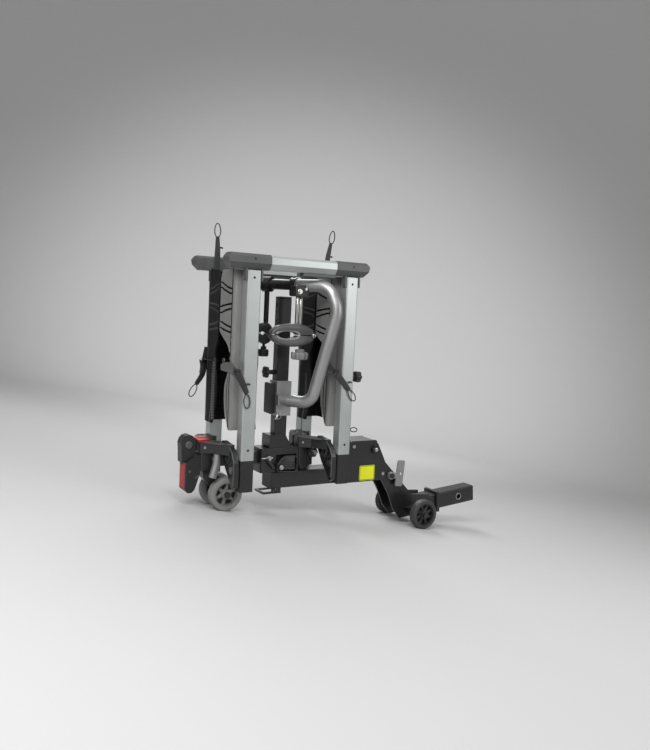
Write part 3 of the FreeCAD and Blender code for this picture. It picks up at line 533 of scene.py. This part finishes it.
for kind, finishUpper in (("wide", capMould), ("slim", blackMould)):
    c = jaw[kind]
    piece(kind + "JawUpper", [jawShell(c, 1), jawKnuckle(c, 1)], finishUpper, "frame", 50,
          ["jaw_upper_" + kind])
    stud = turned((c["x"] + c["knobAt"], c["y"], jaw["z"] - c["rise"] - 32), (0, 0, 1),
                  [(0, 3.2), (0.8, 4.0), (39, 4.0), (40, 3.2)], 24)
    piece(kind + "JawLower", [jawShell(c, -1), jawKnuckle(c, -1), stud], finishUpper, kind + "_jaw",
          50, ["jaw_lower_" + kind])
    if kind == "wide":
        piece("wideLipUpper", mouthLining(c, 1), lipGrey, "frame")
        piece("wideLipLower", mouthLining(c, -1), lipGrey, "wide_jaw")
    knobTop = jaw["z"] - c["rise"] - 7
    piece(kind + "Knob", [knobShell((c["x"] + c["knobAt"], c["y"], knobTop), (0, 0, -1), c["knobR"], 21, 7,
                                    c["knobR"] * 0.55)],
          paleMould if kind == "wide" else blackMould, kind + "_knob", 40, ["jaw_knob_" + kind])
mastKnob = {"at": (147.5, 0, 325), "radius": 17, "tall": 12, "neck": 19.5, "neckR": 7, "lobes": 6}
piece("mastKnobGrip", [knobShell(mastKnob["at"], (-1, 0, 0), mastKnob["radius"], mastKnob["tall"],
                                 mastKnob["neck"], mastKnob["neckR"], mastKnob["lobes"], 0.2)],
      blackMould, "mast_knob_part", 40, ["mast_knob"])

# ---- wheels

print("wheels")
wheels = {"tail": {"x": -1.0, "z": 0.5, "radius": 45.0, "inner": 20.0, "outer": 48.0, "spokes": 6,
                   "rim": 0.76},
          "car": {"x": 629.0, "z": -103.0, "radius": 44.5, "inner": 81.0, "outer": 105.0, "spokes": 8,
                  "rim": 0.78}}


def wheelPieces(name, c, side, body, tread, disc, replaced):
    # tread turned about the axle with round shoulders, a spoked disc inside it, and behind the spokes a black
    # disc of painted shade
    r, rimIn = c["radius"], c["radius"] * c["rim"]
    low, high = sorted((side * c["inner"], side * c["outer"]))
    wide = high - low
    base = (c["x"], low, c["z"])
    profile = [(0.3, rimIn - 1), (0, rimIn + 1.5), (0, r - 4.5), (0.8, r - 1.8), (3, r - 0.4), (5, r),
               (wide / 2 - 1.2, r), (wide / 2 - 0.5, r - 0.7), (wide / 2 + 0.5, r - 0.7),
               (wide / 2 + 1.2, r), (wide - 5, r), (wide - 3, r - 0.4), (wide - 0.8, r - 1.8),
               (wide, r - 4.5), (wide, rimIn + 1.5), (wide - 0.3, rimIn - 1), (wide / 2, rimIn - 1.4)]
    piece(name + "Tread", [turned(base, (0, 1, 0), profile, 96, hollow=True)], tread, body, 40,
          replaced)
    rimLine = [(1.5, rimIn - 4.2), (1.2, rimIn - 0.6), (wide / 2, rimIn - 0.3), (wide - 1.2, rimIn - 0.6),
               (wide - 1.5, rimIn - 4.2), (wide / 2 + 3, rimIn - 5), (wide / 2 - 3, rimIn - 5)]
    hubLine = [(0, 6.4), (0, 11), (1.2, 12.6), (wide - 1.2, 12.6), (wide, 11), (wide, 6.4)]
    rimShell = turned(base, (0, 1, 0), rimLine, 96, hollow=True)
    hub = turned(base, (0, 1, 0), hubLine, 48, hollow=True)
    shells = [rimShell, hub]
    # painted shade: a black disc behind the spokes stands in for the shade inside the wheel
    back = (c["x"], (low + high) / 2 - side * 2.0, c["z"])
    shadeDiscLine = [(-1.2, 9), (-1.2, rimIn - 4), (0, rimIn - 3.6), (0.4, 9)]
    piece(name + "Back", [turned(back, (0, side, 0), shadeDiscLine, 64, hollow=True)], blackMould, body)
    section = rounded([(-4.2, -5), (4.2, -5), (4.2, 5), (-4.2, 5)], 2.5, 3)
    for turn in ring(c["spokes"], 0.35):
        way = np.array([math.cos(turn), 0, math.sin(turn)])
        middle = np.array([c["x"], (low + high) / 2, c["z"]])
        reach = np.linspace(10.5, rimIn - 3, 9)
        flare = 1 + 0.75 * np.abs(np.linspace(-1, 1, 9)) ** 2.5
        line = middle + way * reach[:, None]
        shells.append(carried(line, section, (0, 1, 0), np.stack([flare, np.ones(9)], -1)))
    piece(name + "Disc", shells, disc, body, 40)


for side, mark, sideName in ((-1, "n", "near"), (1, "f", "far")):
    wheelPieces("tailWheel_" + sideName, wheels["tail"], side, "rear_wheel_" + mark, tyreGrey, paleMould,
                ["rear_wheel_" + sideName])
    wheelPieces("carWheel_" + sideName, wheels["car"], side, "front_wheel_" + mark, tyreDark, blackMould,
                ["front_wheel_" + sideName])


# ---- straps and buckles

print("straps")
strap = {"wide": 18.0, "thick": 3.0, "pitch": 4.0, "tooth": 0.28, "wire": 1.5}
bandSection = rounded([(-0.5, -0.5), (0.5, -0.5), (0.5, 0.5), (-0.5, 0.5)], 0.28, 3)


def strapBand(points, up=(0, 1, 0), taper=1.0):
    # a toothed strap: its thickness rises and falls along its length, its width may taper
    line = smoothPath(points, 40)
    step = np.concatenate([[0], np.cumsum(np.linalg.norm(np.diff(line, axis=0), axis=1))])
    even = np.linspace(0, step[-1], max(12, int(step[-1] / 0.9)))
    line = np.stack([np.interp(even, step, line[:, k]) for k in range(3)], -1)
    saw = (even / strap["pitch"]) % 1.0
    thick = strap["thick"] * (1 - strap["tooth"] * saw)
    wide = strap["wide"] * (1 + (taper - 1) * (even / even[-1]) ** 2)
    return carried(line, bandSection, up, np.stack([wide, thick], -1))


def pullLoop(x, y, z, tilt, long=21.0, wide=8.5):
    # oval ring of round wire, held at its lower end by the strap
    a = ring(48)
    t = math.radians(tilt)
    u, v = wide * np.cos(a) * (1 - 0.12 * np.sin(a)), long * np.sin(a)
    line = np.stack([x + u * math.cos(t) + v * math.sin(t), np.full(48, y),
                     z - u * math.sin(t) + v * math.cos(t)], -1)
    return carried(line, roundSection(strap["wire"], 10), (0, 1, 0), wrap=True)


def sideTab(x, y, z, way, reach=11.0):
    # small finger tab beside the strap
    line = np.array([[x, y, z], [x + way * reach * 0.5, y, z + 1.5], [x + way * reach, y, z + 0.5]])
    return carried(smoothPath(line, 6), rounded([(-2.4, -1.2), (2.4, -1.2), (2.4, 1.2), (-2.4, 1.2)], 1, 2),
                   (0, 1, 0))


nearY = -(rack["railOut"] + 3.5)
nearStraps = {"left": {"line": [(-22, 338), (-15, 326), (-5, 308), (8, 282)], "ring": (8.5, 263, -5),
                       "tab": (13, 305)},
              "right": {"line": [(270, 331), (284, 319), (303, 299), (314, 288)], "ring": (323, 273, -35),
                        "tab": (318, 308)}}
shells = []
for place, railX in (("left", 0.0), ("right", rack["railPitch"])):
    one = nearStraps[place]
    shells.append(strapBand([(x, nearY, z) for x, z in one["line"]], taper=0.7))
    shells.append(pullLoop(one["ring"][0], nearY, one["ring"][1], one["ring"][2], 18.5))
    shells.append(sideTab(one["tab"][0] - 8, nearY, one["tab"][1], 1))
    fold = [(railX - 21, nearY, 339), (railX - 17, nearY + 8, 343), (railX - 15, -rack["railIn"] - 12, 340),
            (railX - 14, -rack["railIn"] - 1, 334)]
    shells.append(strapBand(fold, (0.2, 0, 1)))
piece("nearPullStraps", shells, strapRubber, "near_wing", 50, ["near_straps"])

trayLeft = railMid - tray["half"]
farY = 101.5
ladderX = trayLeft - 2.0
ladder = strapBand([(ladderX, 22, z) for z in (361, 320, 250, 193)], (1, 0, 0))
farTail = strapBand([(trayLeft + 8, farY, 385), (trayLeft + 1, farY, 350), (trayLeft - 4, farY, 312),
                     (trayLeft - 22, farY, 281)], taper=0.7)
farReach = strapBand([(ladderX, 24, 354), (ladderX, 50, 353), (ladderX, 80, 353), (ladderX, 101, 353)],
                     (0, 0, 1))
farBuckle = [plateShell(rounded([(-34, 352), (-27, 345), (-20, 348), (-14, 340), (-15, 318), (-23, 309),
                                 (-33, 311), (-30, 330)], 4, 3), farY - 6, farY + 5, "xz", 1.4)]
piece("farPullStrap", [ladder, farTail, farReach, pullLoop(-50, farY, 264, 27, 18.5)] + farBuckle,
      strapRubber, "far_wing", 50, ["far_strap_low"])
teeth = []
for z in np.arange(198, 350, 7.5):
    toothLine = rounded([(14.5, z - 1.5), (29.5, z - 1.5), (29.5, z + 1.5), (14.5, z + 1.5)], 1, 2)
    teeth.append(plateShell(toothLine, trayLeft - 4.9, trayLeft - 2.4, "yz", 0.5))
piece("farLadderTeeth", teeth, greyMould, "far_wing", 50)

farTops = [{"line": [(-8, 597), (-8, 630), (-8, 655), (-9, 688)], "y": 61.5, "ring": (-9.5, 704, -2)},
           {"line": [(315, 599), (318, 630), (321, 655), (329, 698)], "y": 30.5, "ring": (332, 714, 9)}]
shells = []
for one in farTops:
    x, y = one["line"][0][0], one["y"]
    shells.append(strapBand([(px, y, pz) for px, pz in one["line"]], taper=0.55))
    shells.append(pullLoop(one["ring"][0], y, one["ring"][1], one["ring"][2], 18.5))
    shells.append(sideTab(one["line"][2][0] + 4, y, 657, 1))
    shells.append(plateShell(rounded([(x - 9, 596.3), (x + 9, 596.3), (x + 9, 602), (x - 9, 602)], 2, 3),
                             y - 1.5, y + 22.5, "xz", 0.8))
piece("farTopStraps", shells, strapRubber, "far_wing", 50, ["far_strap_tops"])

for place, railX, mark in (("left", 0.0, "l"), ("right", rack["railPitch"], "r")):
    x = railX - 22.1
    lever = smoothPath([(x, -28, 341), (x, -52, 343), (x, -80, 345), (x, -100, 344), (x, -114, 341)], 8)
    height = 8 + 5 * np.sin(np.linspace(0, math.pi, len(lever)))
    arm = carried(lever, rounded([(-1, -0.5), (1, -0.5), (1, 0.5), (-1, 0.5)], 0.3, 3), (1, 0, 0),
                  np.stack([height, np.full(len(lever), 3.4)], -1))
    drum = turned((x - 2.4, -86, 348), (1, 0, 0), [(0, 4.8), (0.6, 6.4), (3.6, 6.4), (4.2, 4.8)], 24)
    eye = carried(np.stack([np.full(32, x), -44 + 6 * np.cos(ring(32)), 359 + 6 * np.sin(ring(32))], -1),
                  roundSection(1.3, 8), (1, 0, 0), wrap=True)
    piece("buckleLever_" + place, [arm, drum, eye], greyMould, "buckle_" + mark, 45,
          ["near_buckle_" + place])

# ---- small fittings

print("fittings")
outNear = (0, -1, 0)


def boltHead(x, y, z, axis, radius, high, sides=6):
    # washer, then a head of flat sides with a drawn-in top
    base = np.array([x, y, z], float)
    washer = turned(base, axis, [(0, radius * 1.35), (0.8, radius * 1.4), (1.2, radius * 1.3)], 32)
    head = turned(base + unit(axis) * 1.1, axis, [(0, radius), (high - 1.2, radius), (high, radius * 0.86),
                                                  (high, radius * 0.45), (high - 1, radius * 0.4)], sides)
    return [washer, head]


def ringLine(centre, a, b, radius, count=40):
    # circle about a centre: cosine of the angle along a, sine of it along b
    t = ring(count)[:, None]
    a, b = np.asarray(a, float), np.asarray(b, float)
    return np.asarray(centre, float) + radius * (np.cos(t) * a + np.sin(t) * b)


# foot pedal: a dished pad with a raised border, on its hub, and a bright bolt
pedal = {"outline": [(148, 50), (206, 46), (212, 52), (212, 88), (206, 94), (172, 94), (158, 84), (148, 70)],
         "front": -44.0, "back": -34.0, "inset": 5.0, "x": 158, "z": 64, "ridges": (58, 65, 72, 79, 86)}
line = rounded(pedal["outline"], 5, 5)
inner = line - flatRing(line) * pedal["inset"]
middleLine = line - flatRing(line) * 2
border = np.stack([middleLine[:, 0], np.full(len(line), pedal["front"] + 1.6), middleLine[:, 1]], -1)
hubLine = [(0, 9), (5, 9), (5, 4.1), (0, 4.1)]
pedalHub = turned((pedal["x"], -29.8, pedal["z"]), outNear, hubLine, 36, hollow=True)
pedalRidges = [plateShell(rounded([(172, z - 1.2), (204, z - 1.2), (204, z + 1.2), (172, z + 1.2)], 1, 2),
                          -42.6, -39.5, "xz", 0.5) for z in pedal["ridges"]]
piece("pedalPad", [plateShell(line, -41.0, pedal["back"], "xz", 1.2),
                   plateShell(inner, -42.0, -40.0, "xz", 0.8),
                   carried(border, roundSection(1.9, 10), (0, 1, 0), wrap=True), pedalHub] + pedalRidges,
      blackCoat, "pedal_part", 40, ["tilt_pedal"])
piece("pedalBolt", boltHead(pedal["x"], -50.2, pedal["z"], outNear, 4.6, 3.4), zincSteel, "frame",
      30)
claw = [(116, -30.5, 92), (122, -34, 84), (131, -37, 72), (142, -37, 60)]
clawSection = rounded([(-4, -3), (4, -3), (4, 3), (-4, 3)], 2, 3)
piece("pedalClaw", [carried(smoothPath(claw, 8), clawSection, (0, 1, 0))], blackCoat, "frame",
      40)
rod = np.array([(104, -33, 89), (138, -33, 89)], float)
rodBolt = boltHead(127, -34.5, 88, outNear, 5.0, 4.0)
piece("pedalRod", [carried(rod, roundSection(2.2, 14), (0, 0, 1))] + rodBolt, zincSteel, "frame",
      30)

# hinge arms: light edge, ribs in the pocket, notches along the top and a bolt through the bar
hingeArm = {"face": -16.6, "pocket": -12.5, "across": 72, "tall": 56, "from": 50, "low": 90, "end": 121,
            "ribs": ((62, 93, 66, 127), (78, 93, 90, 120), (92, 93, 103, 100)), "notches": 9,
            "notchPitch": 8.5}
for place, railX in (("left", 0.0), ("right", rack["railPitch"])):
    for side, name in ((-1, "Near"), (1, "Far")):
        turn = np.radians(np.linspace(104, 180, 18))
        edge = np.stack([np.full(18, railX + hingeArm["face"]),
                         side * (hingeArm["from"] - hingeArm["across"] * np.cos(turn)),
                         hingeArm["low"] + hingeArm["tall"] * np.sin(turn)], -1)
        edge[:, 1] = side * np.minimum(np.abs(edge[:, 1]), hingeArm["end"] - 0.5)
        lower = np.array([[railX + hingeArm["face"], side * hingeArm["end"], z] for z in (76, 44)])
        shells = [carried(np.vstack([edge, lower]), roundSection(1.7, 10), (1, 0, 0))]
        for ya, za, yb, zb in hingeArm["ribs"]:
            ribX = railX + hingeArm["pocket"]
            rib = np.array([[ribX, side * ya, za], [ribX, side * yb, zb]])
            shells.append(carried(rib, rounded([(-1.1, -3.4), (1.1, -3.4), (1.1, 3.4), (-1.1, 3.4)], 0.6, 2),
                                  (1, 0, 0)))
        for k in range(hingeArm["notches"]):
            reach = hingeArm["notchPitch"] * k
            y = side * (10 + reach)
            x0 = railX - 70 + max(0, reach - 26) * 0.62
            low, high = sorted((y - 1.7, y + 1.7))
            notch = rounded([(x0, 142.4), (x0 + 20, 142.4), (x0 + 20, 145.2), (x0, 145.2)], 1, 2)
            shells.append(plateShell(notch, low, high, "xz", 0.5))
        piece("armEdge" + name + "_" + place, shells, capMould, "frame", 45)
        at = (railX - 62, side * 30.6, 129)
        piece("armBolt" + name + "_" + place, boltHead(*at, (0, side, 0), 5.2, 4.2), zincSteel, "frame",
              30)
# a helix along x beside the near right arm
spring = {"turns": 4.5, "radius": 11, "rise": 0.62, "wire": 1.5, "x": 248, "y": -47, "z": 100}
t = np.linspace(0, spring["turns"] * 2 * math.pi, 150)
coil = np.stack([spring["x"] + t * spring["rise"], spring["y"] + spring["radius"] * np.cos(t),
                 spring["z"] + spring["radius"] * np.sin(t)], -1)
piece("armSpring", [carried(coil, roundSection(spring["wire"], 8), (1, 0, 0))], strapRubber, "frame")

# rods, bolts and pins of the clamps and the mast
clampRod = {"x": (171.8, 182.2), "y": -75, "foot": 460,
            "profile": [(0, 5.2), (0.6, 5.45), (74, 5.45), (74.6, 5.2)]}
rods = [turned((x, clampRod["y"], clampRod["foot"]), (0, 0, 1), clampRod["profile"], 24)
        for x in clampRod["x"]]
piece("clampRods", rods, zincSteel, "frame")
saddle = boltHead(168, -94.2, 549, outNear, 5.0, 4.0) + boltHead(186, -94.2, 556, outNear, 2.8, 2.4)
piece("saddleBolts", saddle, zincSteel, "frame", 30)
pinLine = [(0, 5.6), (1.6, 5.6), (2.6, 4.2), (2.9, 1.5)]
piece("jawPinWide", [turned((218, -92.4, jaw["z"]), outNear, pinLine, 24)], zincSteel, "frame")
bracketBoltLine = [(0, 7.2), (1.2, 7.4), (1.8, 6.8), (1.9, 4.2), (3.6, 3.8), (4.2, 2.6)]
piece("bracketBolt", [turned((153, -19.2, 291), outNear, bracketBoltLine, 32)], blackCoat, "frame")
toggle = [(150, -18.6, 214), (150, -27, 212), (146, -31, 204), (142, -31, 196)]
toggleRing = ringLine((154, -26, 204), (1, 0, 0.2), (-0.2, 0, 1), 7.5)
piece("bracketToggle", [carried(smoothPath(toggle, 6), roundSection(3.0, 14), (0.3, 0, 1)),
                        carried(toggleRing, roundSection(1.2, 8), (0, 1, 0), wrap=True)]
      + boltHead(157, -19.4, 216, outNear, 4.4, 5.0), zincSteel, "frame", 35)
spotLine = [(0, 3.6), (0.8, 3.8), (1.1, 3.2), (0.5, 1.6)]
piece("mastSpot", [turned((141, -15.1, 515), outNear, spotLine, 24)], strapRubber, "frame")
sideKnob = {"at": (329.8, -110, 322), "radius": 16.2, "tall": 17.5, "neck": 13, "neckR": 7, "lobes": 6}
piece("railKnobGrip", [knobShell(sideKnob["at"], (1, 0, 0), sideKnob["radius"], sideKnob["tall"],
                                 sideKnob["neck"], sideKnob["neckR"], sideKnob["lobes"], 0.22)],
      blackMould, "rail_knob_part", 40, ["rail_knob"])

# tail lamp: bezel, ribbed lens face, knuckle bosses
lamp = {"face": -108.0, "half": 15.6, "low": 18.6, "high": 83.4, "ribs": 9, "cells": 14}
y = np.linspace(-lamp["half"], lamp["half"], 91)
z = np.linspace(lamp["low"], lamp["high"], 120)
yy, zz = np.meshgrid(y, z, indexing="ij")
wave = np.abs(np.sin(yy / lamp["half"] * math.pi * lamp["ribs"] / 2)) * 0.5
wave += np.abs(np.sin((zz - lamp["low"]) / (lamp["high"] - lamp["low"]) * math.pi * lamp["cells"])) * 0.35
toEnd = np.minimum(zz - lamp["low"], lamp["high"] - zz)
rim = np.clip(np.minimum(lamp["half"] - np.abs(yy), toEnd) / 1.6, 0, 1)
front = np.stack([lamp["face"] - 1.7 - (0.5 + wave) * rim, yy, zz], -1)
backFace = np.stack([np.full_like(yy, lamp["face"] - 0.5), yy, zz], -1)
lensPoints = np.stack([front, backFace])
n, m = yy.shape
edgeRow = np.concatenate([np.arange(m), np.arange(1, n) * m + m - 1, (n - 1) * m + np.arange(m - 2, -1, -1),
                          np.arange(n - 2, 0, -1) * m])
sheet = gridFaces(n, m, False, False)
flip = [[i + n * m for i in one[::-1]] for one in sheet]
walls = [[int(edgeRow[k - 1]), int(edgeRow[k]), int(edgeRow[k]) + n * m, int(edgeRow[k - 1]) + n * m]
         for k in range(len(edgeRow))]
piece("lampLensFace", [(lensPoints.reshape(-1, 3), sheet + flip + walls)], redLens, "frame", 25)
bezel = rounded([(-18.6, 15.6), (18.6, 15.6), (18.6, 86.4), (-18.6, 86.4)], 4, 5)
bezelLine = np.stack([np.full(len(bezel), lamp["face"] - 0.6), bezel[:, 0], bezel[:, 1]], -1)
bosses = [turned((-100, side * 14.8, 134), (0, side, 0), [(0, 10), (3, 10), (4, 9), (4.2, 5), (3.2, 4.4)], 36)
          for side in (-1, 1)]
bosses += [turned((-99, side * 25.6, 66), (0, side, 0), [(0, 4), (1.2, 3.8), (1.6, 2.6), (1.0, 1.6)], 24)
           for side in (-1, 1)]
slotLine = rounded([(-84, 48), (-74, 56), (-72, 52), (-82, 44)], 1.5, 2)
slots = [plateShell(slotLine, *sorted((side * 25.8, side * 27.2)), "xz", 0.4) for side in (-1, 1)]
piece("lampTrim", [carried(bezelLine, roundSection(1.7, 10), (1, 0, 0), wrap=True)] + bosses + slots,
      capMould, "frame", 45)

# bright centres of the tilt bolt, hole ring on the tongue, plugs of the caps, wire eye on the side plates
centreLine = [(0, 6), (1.4, 6), (2.6, 4.6), (3.0, 1.5)]
tilt = [turned((476, side * 46.9, 96), (0, side, 0), centreLine, 32) for side in (-1, 1)]
piece("tiltBoltCentre", tilt, zincSteel, "frame")
tongue = {"rise": math.radians(5.3), "endX": 888, "endZ": -76, "pinFromEnd": 63, "face": 25.6, "holeR": 9.6}
pinAt = np.array([tongue["endX"] - tongue["pinFromEnd"] * math.cos(tongue["rise"]), 0,
                  tongue["endZ"] - tongue["pinFromEnd"] * math.sin(tongue["rise"])])
holeRings = []
for side in (-1, 1):
    around = ringLine(pinAt + [0, side * tongue["face"], 0], (1, 0, 0), (0, 0, 1), tongue["holeR"], 48)
    holeRings.append(carried(around, roundSection(1.3, 10), (0, 1, 0), wrap=True))
piece("tongueHoleRings", holeRings, zincSteel, "neck_part")
plugLine = [(0, 3.4), (0.7, 3.2), (0.9, 2.4), (0.5, 1.2)]
plugs = [turned((x, -135.2, 623), outNear, plugLine, 24) for x in (16, 307)]
piece("nearCapPlugs", plugs, blackMould, "near_wing")
eyeLine = [(404, 0, 124.2), (404, 0, 141), (410, 0, 150)]
eyeRing = ringLine((421, 0, 151), (1, 0, 0.15), (-0.05, 0.6, 0.45), 11)
piece("plateWireEye", [carried(smoothPath(eyeLine, 8), roundSection(1.6, 10), (0, 1, 0)),
                       carried(eyeRing, roundSection(1.5, 10), (0, 0, 1), wrap=True)], strapRubber, "frame")
pad = {"left": 425, "right": 475, "low": 6, "high": 47, "corner": 5, "face": -40.0}
padBorder = rounded([(pad["left"], pad["low"]), (pad["right"], pad["low"]), (pad["right"], pad["high"]),
                     (pad["left"], pad["high"])], pad["corner"], 5)
padLine = np.stack([padBorder[:, 0], np.full(len(padBorder), pad["face"]), padBorder[:, 1]], -1)
piece("padBorderLine", [carried(padLine, roundSection(0.7, 8, 0.5), (0, 1, 0), wrap=True)], strapRubber,
      "frame")

# ---- camera, floor and light

print("camera and light")
view = {"yaw": 30.48, "down": 4.99, "roll": 2.76, "eye": (-757.7, -1818.1, 500.2), "focal": 729.96,
        "frameHigh": 750, "sensor": 36.0}
yaw, down, roll = (math.radians(view[k]) for k in ("yaw", "down", "roll"))
ahead = np.array([math.sin(yaw), math.cos(yaw), 0])
rightHand = np.array([math.cos(yaw), -math.sin(yaw), 0])
upward = np.array([0, 0, 1.0])
look = ahead * math.cos(down) - upward * math.sin(down)
tilted = upward * math.cos(down) + ahead * math.sin(down)
across = rightHand * math.cos(roll) + tilted * math.sin(roll)
over = -rightHand * math.sin(roll) + tilted * math.cos(roll)
axes = leanTurn @ np.stack([across, over, -look], 1)
eye = standing(view["eye"])[0]
camera = bpy.data.objects.new("camera", bpy.data.cameras.new("camera"))
bpy.context.collection.objects.link(camera)
camera.data.sensor_fit = "VERTICAL"
camera.data.sensor_height = view["sensor"]
camera.data.lens = view["focal"] / view["frameHigh"] * view["sensor"]
camera.data.clip_end = 200
camera.matrix_world = Matrix([[*axes[i], eye[i]] for i in range(3)] + [[0, 0, 0, 1]])
bpy.context.scene.camera = camera
bpy.context.scene.view_settings.view_transform = "Standard"

# floor that sweeps up into a round wall: flat, then a quarter circle, then straight up
sweep = {"flat": 3.2, "bend": 2.2, "top": 7.0, "drop": -0.0005, "steps": 128}
quarter = np.linspace(0, math.pi / 2, 25)
sweepR = np.concatenate([[0.01], np.linspace(0.3, sweep["flat"], 12),
                         sweep["flat"] + sweep["bend"] * np.sin(quarter[1:]),
                         [sweep["flat"] + sweep["bend"]]])
sweepZ = np.concatenate([np.zeros(13), sweep["bend"] * (1 - np.cos(quarter[1:])), [sweep["top"]]])
sweepZ += sweep["drop"]
angle = ring(sweep["steps"])
sweepGrid = np.stack([sweepR[:, None] * np.cos(angle), sweepR[:, None] * np.sin(angle),
                      np.broadcast_to(sweepZ[:, None], (len(sweepR), sweep["steps"]))], -1)
points, faces = gridShell(sweepGrid, capped=False)
faces.append(list(range(sweep["steps"])))
floorMesh = bpy.data.meshes.new("floor")
floorMesh.from_pydata(points.tolist(), [], faces)
floorMesh.shade_smooth()
floorPaint = bpy.data.materials.new("floorPaint")
floorPaint.use_nodes = True
floorShader = floorPaint.node_tree.nodes["Principled BSDF"]
floorShader.inputs["Base Color"].default_value = (0.50, 0.50, 0.50, 1)
floorShader.inputs["Roughness"].default_value = 0.95
floorShader.inputs["Specular IOR Level"].default_value = 0.1
floorMesh.materials.append(floorPaint)
floor = bpy.data.objects.new("floor", floorMesh)
bpy.context.collection.objects.link(floor)

world = bpy.data.worlds.new("studio")
bpy.context.scene.world = world
world.use_nodes = True
sky = world.node_tree.nodes["Background"]
sky.inputs["Color"].default_value = (0.9, 0.9, 0.9, 1)
sky.inputs["Strength"].default_value = 0.9

lamps = {"key": ((-1250, -1300, 1500), 32, 0.9), "fill": ((1300, -1500, 800), 9, 1.0),
         "strip": ((-300, -1500, 1900), 16, 0.5), "back": ((900, 1500, 1600), 24, 1.2)}
aim = standing((260, 0, 330))[0]
for name, (place, power, size) in lamps.items():
    light = bpy.data.lights.new(name, "AREA")
    light.energy = power
    light.size = size
    holder = bpy.data.objects.new(name, light)
    bpy.context.collection.objects.link(holder)
    at = standing(place)[0]
    back = unit(at - aim)
    a, b = sideways(back)
    holder.matrix_world = Matrix([[a[i], b[i], back[i], at[i]] for i in range(3)] + [[0, 0, 0, 1]])

# a pool of light on the wall behind the rack, as seen from the camera
wash = {"power": 760, "wide": 75, "above": 2.6, "away": 4.6, "aimUp": 0.1}
pool = bpy.data.lights.new("pool", "SPOT")
pool.energy = wash["power"]
pool.spot_size = math.radians(wash["wide"])
pool.spot_blend = 1.0
pool.shadow_soft_size = 0.4
poolHolder = bpy.data.objects.new("pool", pool)
bpy.context.collection.objects.link(poolHolder)
poolAt = aim + np.array([0, 0, wash["above"]])
poolAim = aim + unit(leanTurn @ ahead * [1, 1, 0]) * wash["away"] + np.array([0, 0, wash["aimUp"]])
back = unit(poolAt - poolAim)
a, b = sideways(back)
poolHolder.matrix_world = Matrix([[a[i], b[i], back[i], poolAt[i]] for i in range(3)] + [[0, 0, 0, 1]])

print("done")
